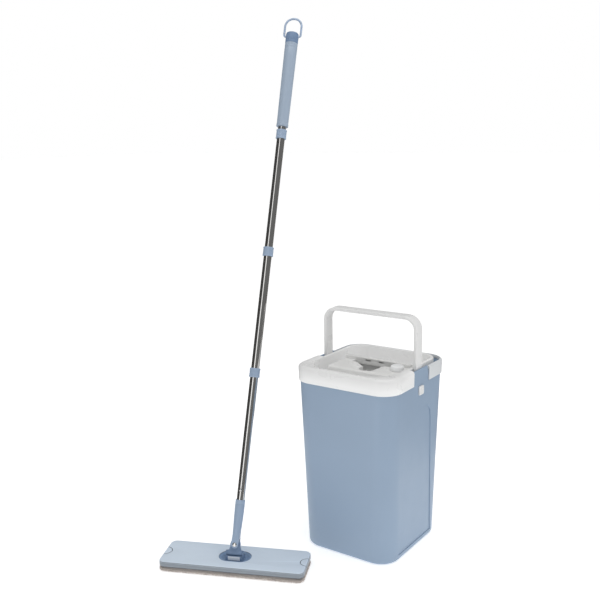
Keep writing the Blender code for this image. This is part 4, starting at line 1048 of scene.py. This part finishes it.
def make_loop(looks):
    """Closed wire loop, whose straight bottom bar turns in the end cap."""
    wire, half_width, bar_z = 0.0024, 0.0190, CAP_TOP - 0.0080
    low_corner, high_corner, crest = 0.0040, 0.0185, LOOP_TOP - bar_z - wire
    path = arc(half_width - low_corner, low_corner, low_corner, -90, 0, 12)
    path += arc(half_width - high_corner, crest - high_corner, high_corner, 0, 90, 24)
    path += arc(high_corner - half_width, crest - high_corner, high_corner, 90, 180, 24)
    path += arc(low_corner - half_width, low_corner, low_corner, 180, 270, 12)
    path = [(x, z + bar_z) for x, z in path]
    loop = sweep("hang_loop", path, circle(wire, 20), True, POLE)
    present(loop, looks["milky"], "loop", "hanging_loop", smooth=60)


# ---- soft parts ----
def make_pad(looks):
    """Microfibre pad: a puffed sheet swollen by cloth pressure, with an uneven nap; the fringe of tufts
    round it is made by make_fringe.
    """
    levels = ((0.0045, 0.0006), (0.0020, 0.0022), (0.0018, 0.0052), (0.0035, 0.0072))
    pad = loft("mop_pad", [(head_outline(inset), z) for inset, z in levels], place=HEAD)
    remesh = pad.modifiers.new("even_mesh", "REMESH")
    remesh.mode = "VOXEL"
    remesh.voxel_size = 0.0022
    settle(pad)
    swell(pad, 20, 0.0012)
    pile(pad)
    present(pad, looks["pad"], "mop_head", "microfibre_pad", smooth=80)


def swell(pad, frames, cap):
    """Cloth pressure rounds the pad's sides; no point moves further than cap."""
    before = [vertex.co.copy() for vertex in pad.data.vertices]
    cloth = pad.modifiers.new("swell", "CLOTH")
    cloth.settings.use_pressure = True
    cloth.settings.uniform_pressure_force = 4.0
    cloth.settings.effector_weights.gravity = 0.0
    cloth.point_cache.frame_start = 1
    cloth.point_cache.frame_end = frames
    for number in range(1, frames + 1):
        bpy.context.scene.frame_set(number)
    settle(pad)
    bpy.context.scene.frame_set(1)
    for vertex, start in zip(pad.data.vertices, before):
        moved = vertex.co - start
        if moved.length > cap:
            vertex.co = start + moved.normalized() * cap


def pile(pad):
    """Uneven nap over the whole pad, kept above the floor and below the hook strip."""
    half_x, half_y = HEAD_LENGTH / 2 + 0.0012, HEAD_WIDTH / 2 + 0.0012
    for vertex in pad.data.vertices:
        p = vertex.co
        rough = noise.noise(p * 260.0) * 0.0007 + noise.noise(p * 700.0) * 0.0005
        out = Vector((p.x / half_x, p.y / half_y, 0.0))
        edge = max(abs(out.x), abs(out.y))
        vertex.co = p + vertex.normal * rough * (1.0 if edge > 0.93 else 0.5)
        vertex.co.z = max(0.0002, min(0.0079, vertex.co.z))


def make_fringe(looks):
    """Short tufts in four rows all round the pad's edge, each one bent strand."""
    rng = random.Random(7)
    outline = head_outline(0.0030, (180, 46))
    bm = bmesh.new()
    for row_z in (0.0016, 0.0032, 0.0048, 0.0062):
        for (x, y), (next_x, next_y) in zip(outline, [*outline[1:], outline[0]]):
            along = Vector((next_x - x, next_y - y, 0.0)).normalized()
            out = Vector((along.y, -along.x, 0.0))
            root = Vector((x, y, row_z + rng.uniform(-0.0006, 0.0006)))
            root += along * rng.uniform(-0.0008, 0.0008)
            reach = rng.uniform(0.0026, 0.0042)
            sway = along * rng.uniform(-0.0012, 0.0012)
            drop = Vector((0.0, 0.0, rng.uniform(-0.0016, 0.0004)))
            tuft(bm, root, out * reach + sway + drop, rng.uniform(0.00042, 0.00062))
    fringe = object_from("pad_fringe", bm, HEAD)
    for vertex in fringe.data.vertices:
        vertex.co.z = max(0.0003, min(0.0079, vertex.co.z))
    present(fringe, looks["pad"], "mop_head", smooth=80)


def tuft(bm, root, reach, radius):
    """One plump strand that narrows to a rounded end."""
    along = reach.normalized()
    side = along.cross(Vector((0, 0, 1))).normalized()
    up = side.cross(along)
    rows = []
    for part, wide in ((0.0, 1.0), (0.45, 1.15), (0.8, 0.9), (1.0, 0.35)):
        bend = up * (-0.0005 * part * part)
        centre = root + reach * part + bend
        row = []
        for step in range(5):
            t = tau * step / 5
            row.append(bm.verts.new(centre + (side * cos(t) + up * sin(t)) * radius * wide))
        rows.append(row)
    skin_rows(bm, rows, False)


def make_strip(looks):
    levels = ((0.0050, 0.0083), (0.0042, 0.0087), (0.0042, 0.0102), (0.0050, 0.0105))
    strip = loft("hook_strip_tape", [(head_outline(inset), z) for inset, z in levels], place=HEAD)
    present(strip, looks["tape"], "mop_head", "hook_strip", smooth=50)


# ---- CAD nodes that stay ----
def paint_kept_nodes(looks):
    cage = ("flange", "rear_panel", "guide_left", "guide_right", "pole_channel")
    kept = {
        "inner_white": [*(f"cage_{part}" for part in cage), "squeegee_carrier"],
        "light": ["guide_roller_left", "guide_roller_right", "knob_shaft"],
        "rubber": ["squeegee_blade"],
        "steel": ["roller_axle_left", "roller_axle_right", "swing_pin"],
    }
    kept["steel"] += [f"cage_screw_{number}" for number in range(1, 5)]
    for look, nodes in kept.items():
        for node in nodes:
            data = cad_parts[node].data
            data.materials.clear()
            data.materials.append(looks[look].material)


def build():
    scene = bpy.context.scene
    scene.view_settings.view_transform = "Standard"
    make_camera()
    make_world()
    make_floor()
    make_flags()
    area_light("top_softbox", (0.3, -0.1, 2.6), (0.0, -0.1, 0.2), (2.2, 2.2), 22.0)
    area_light("right_softbox", (2.4, 0.2, 1.3), (0.0, 0.0, 0.3), (1.4, 1.8), 2.0)
    looks = make_looks()
    make_bucket(looks)
    make_rear_collar(looks)
    make_pivot_cap(-1, "pivot_cap_left", looks)
    make_pivot_cap(1, "pivot_cap_right", looks)
    for make in (
        make_bail, make_tray, make_platform, make_rib, make_knob, make_plate, make_dish, make_bracket,
        make_yoke, make_socket, make_tubes, make_joint_rings, make_button, make_grip, make_loop,
        make_strip, make_pad, make_fringe, paint_kept_nodes,
    ):
        make(looks)


build()
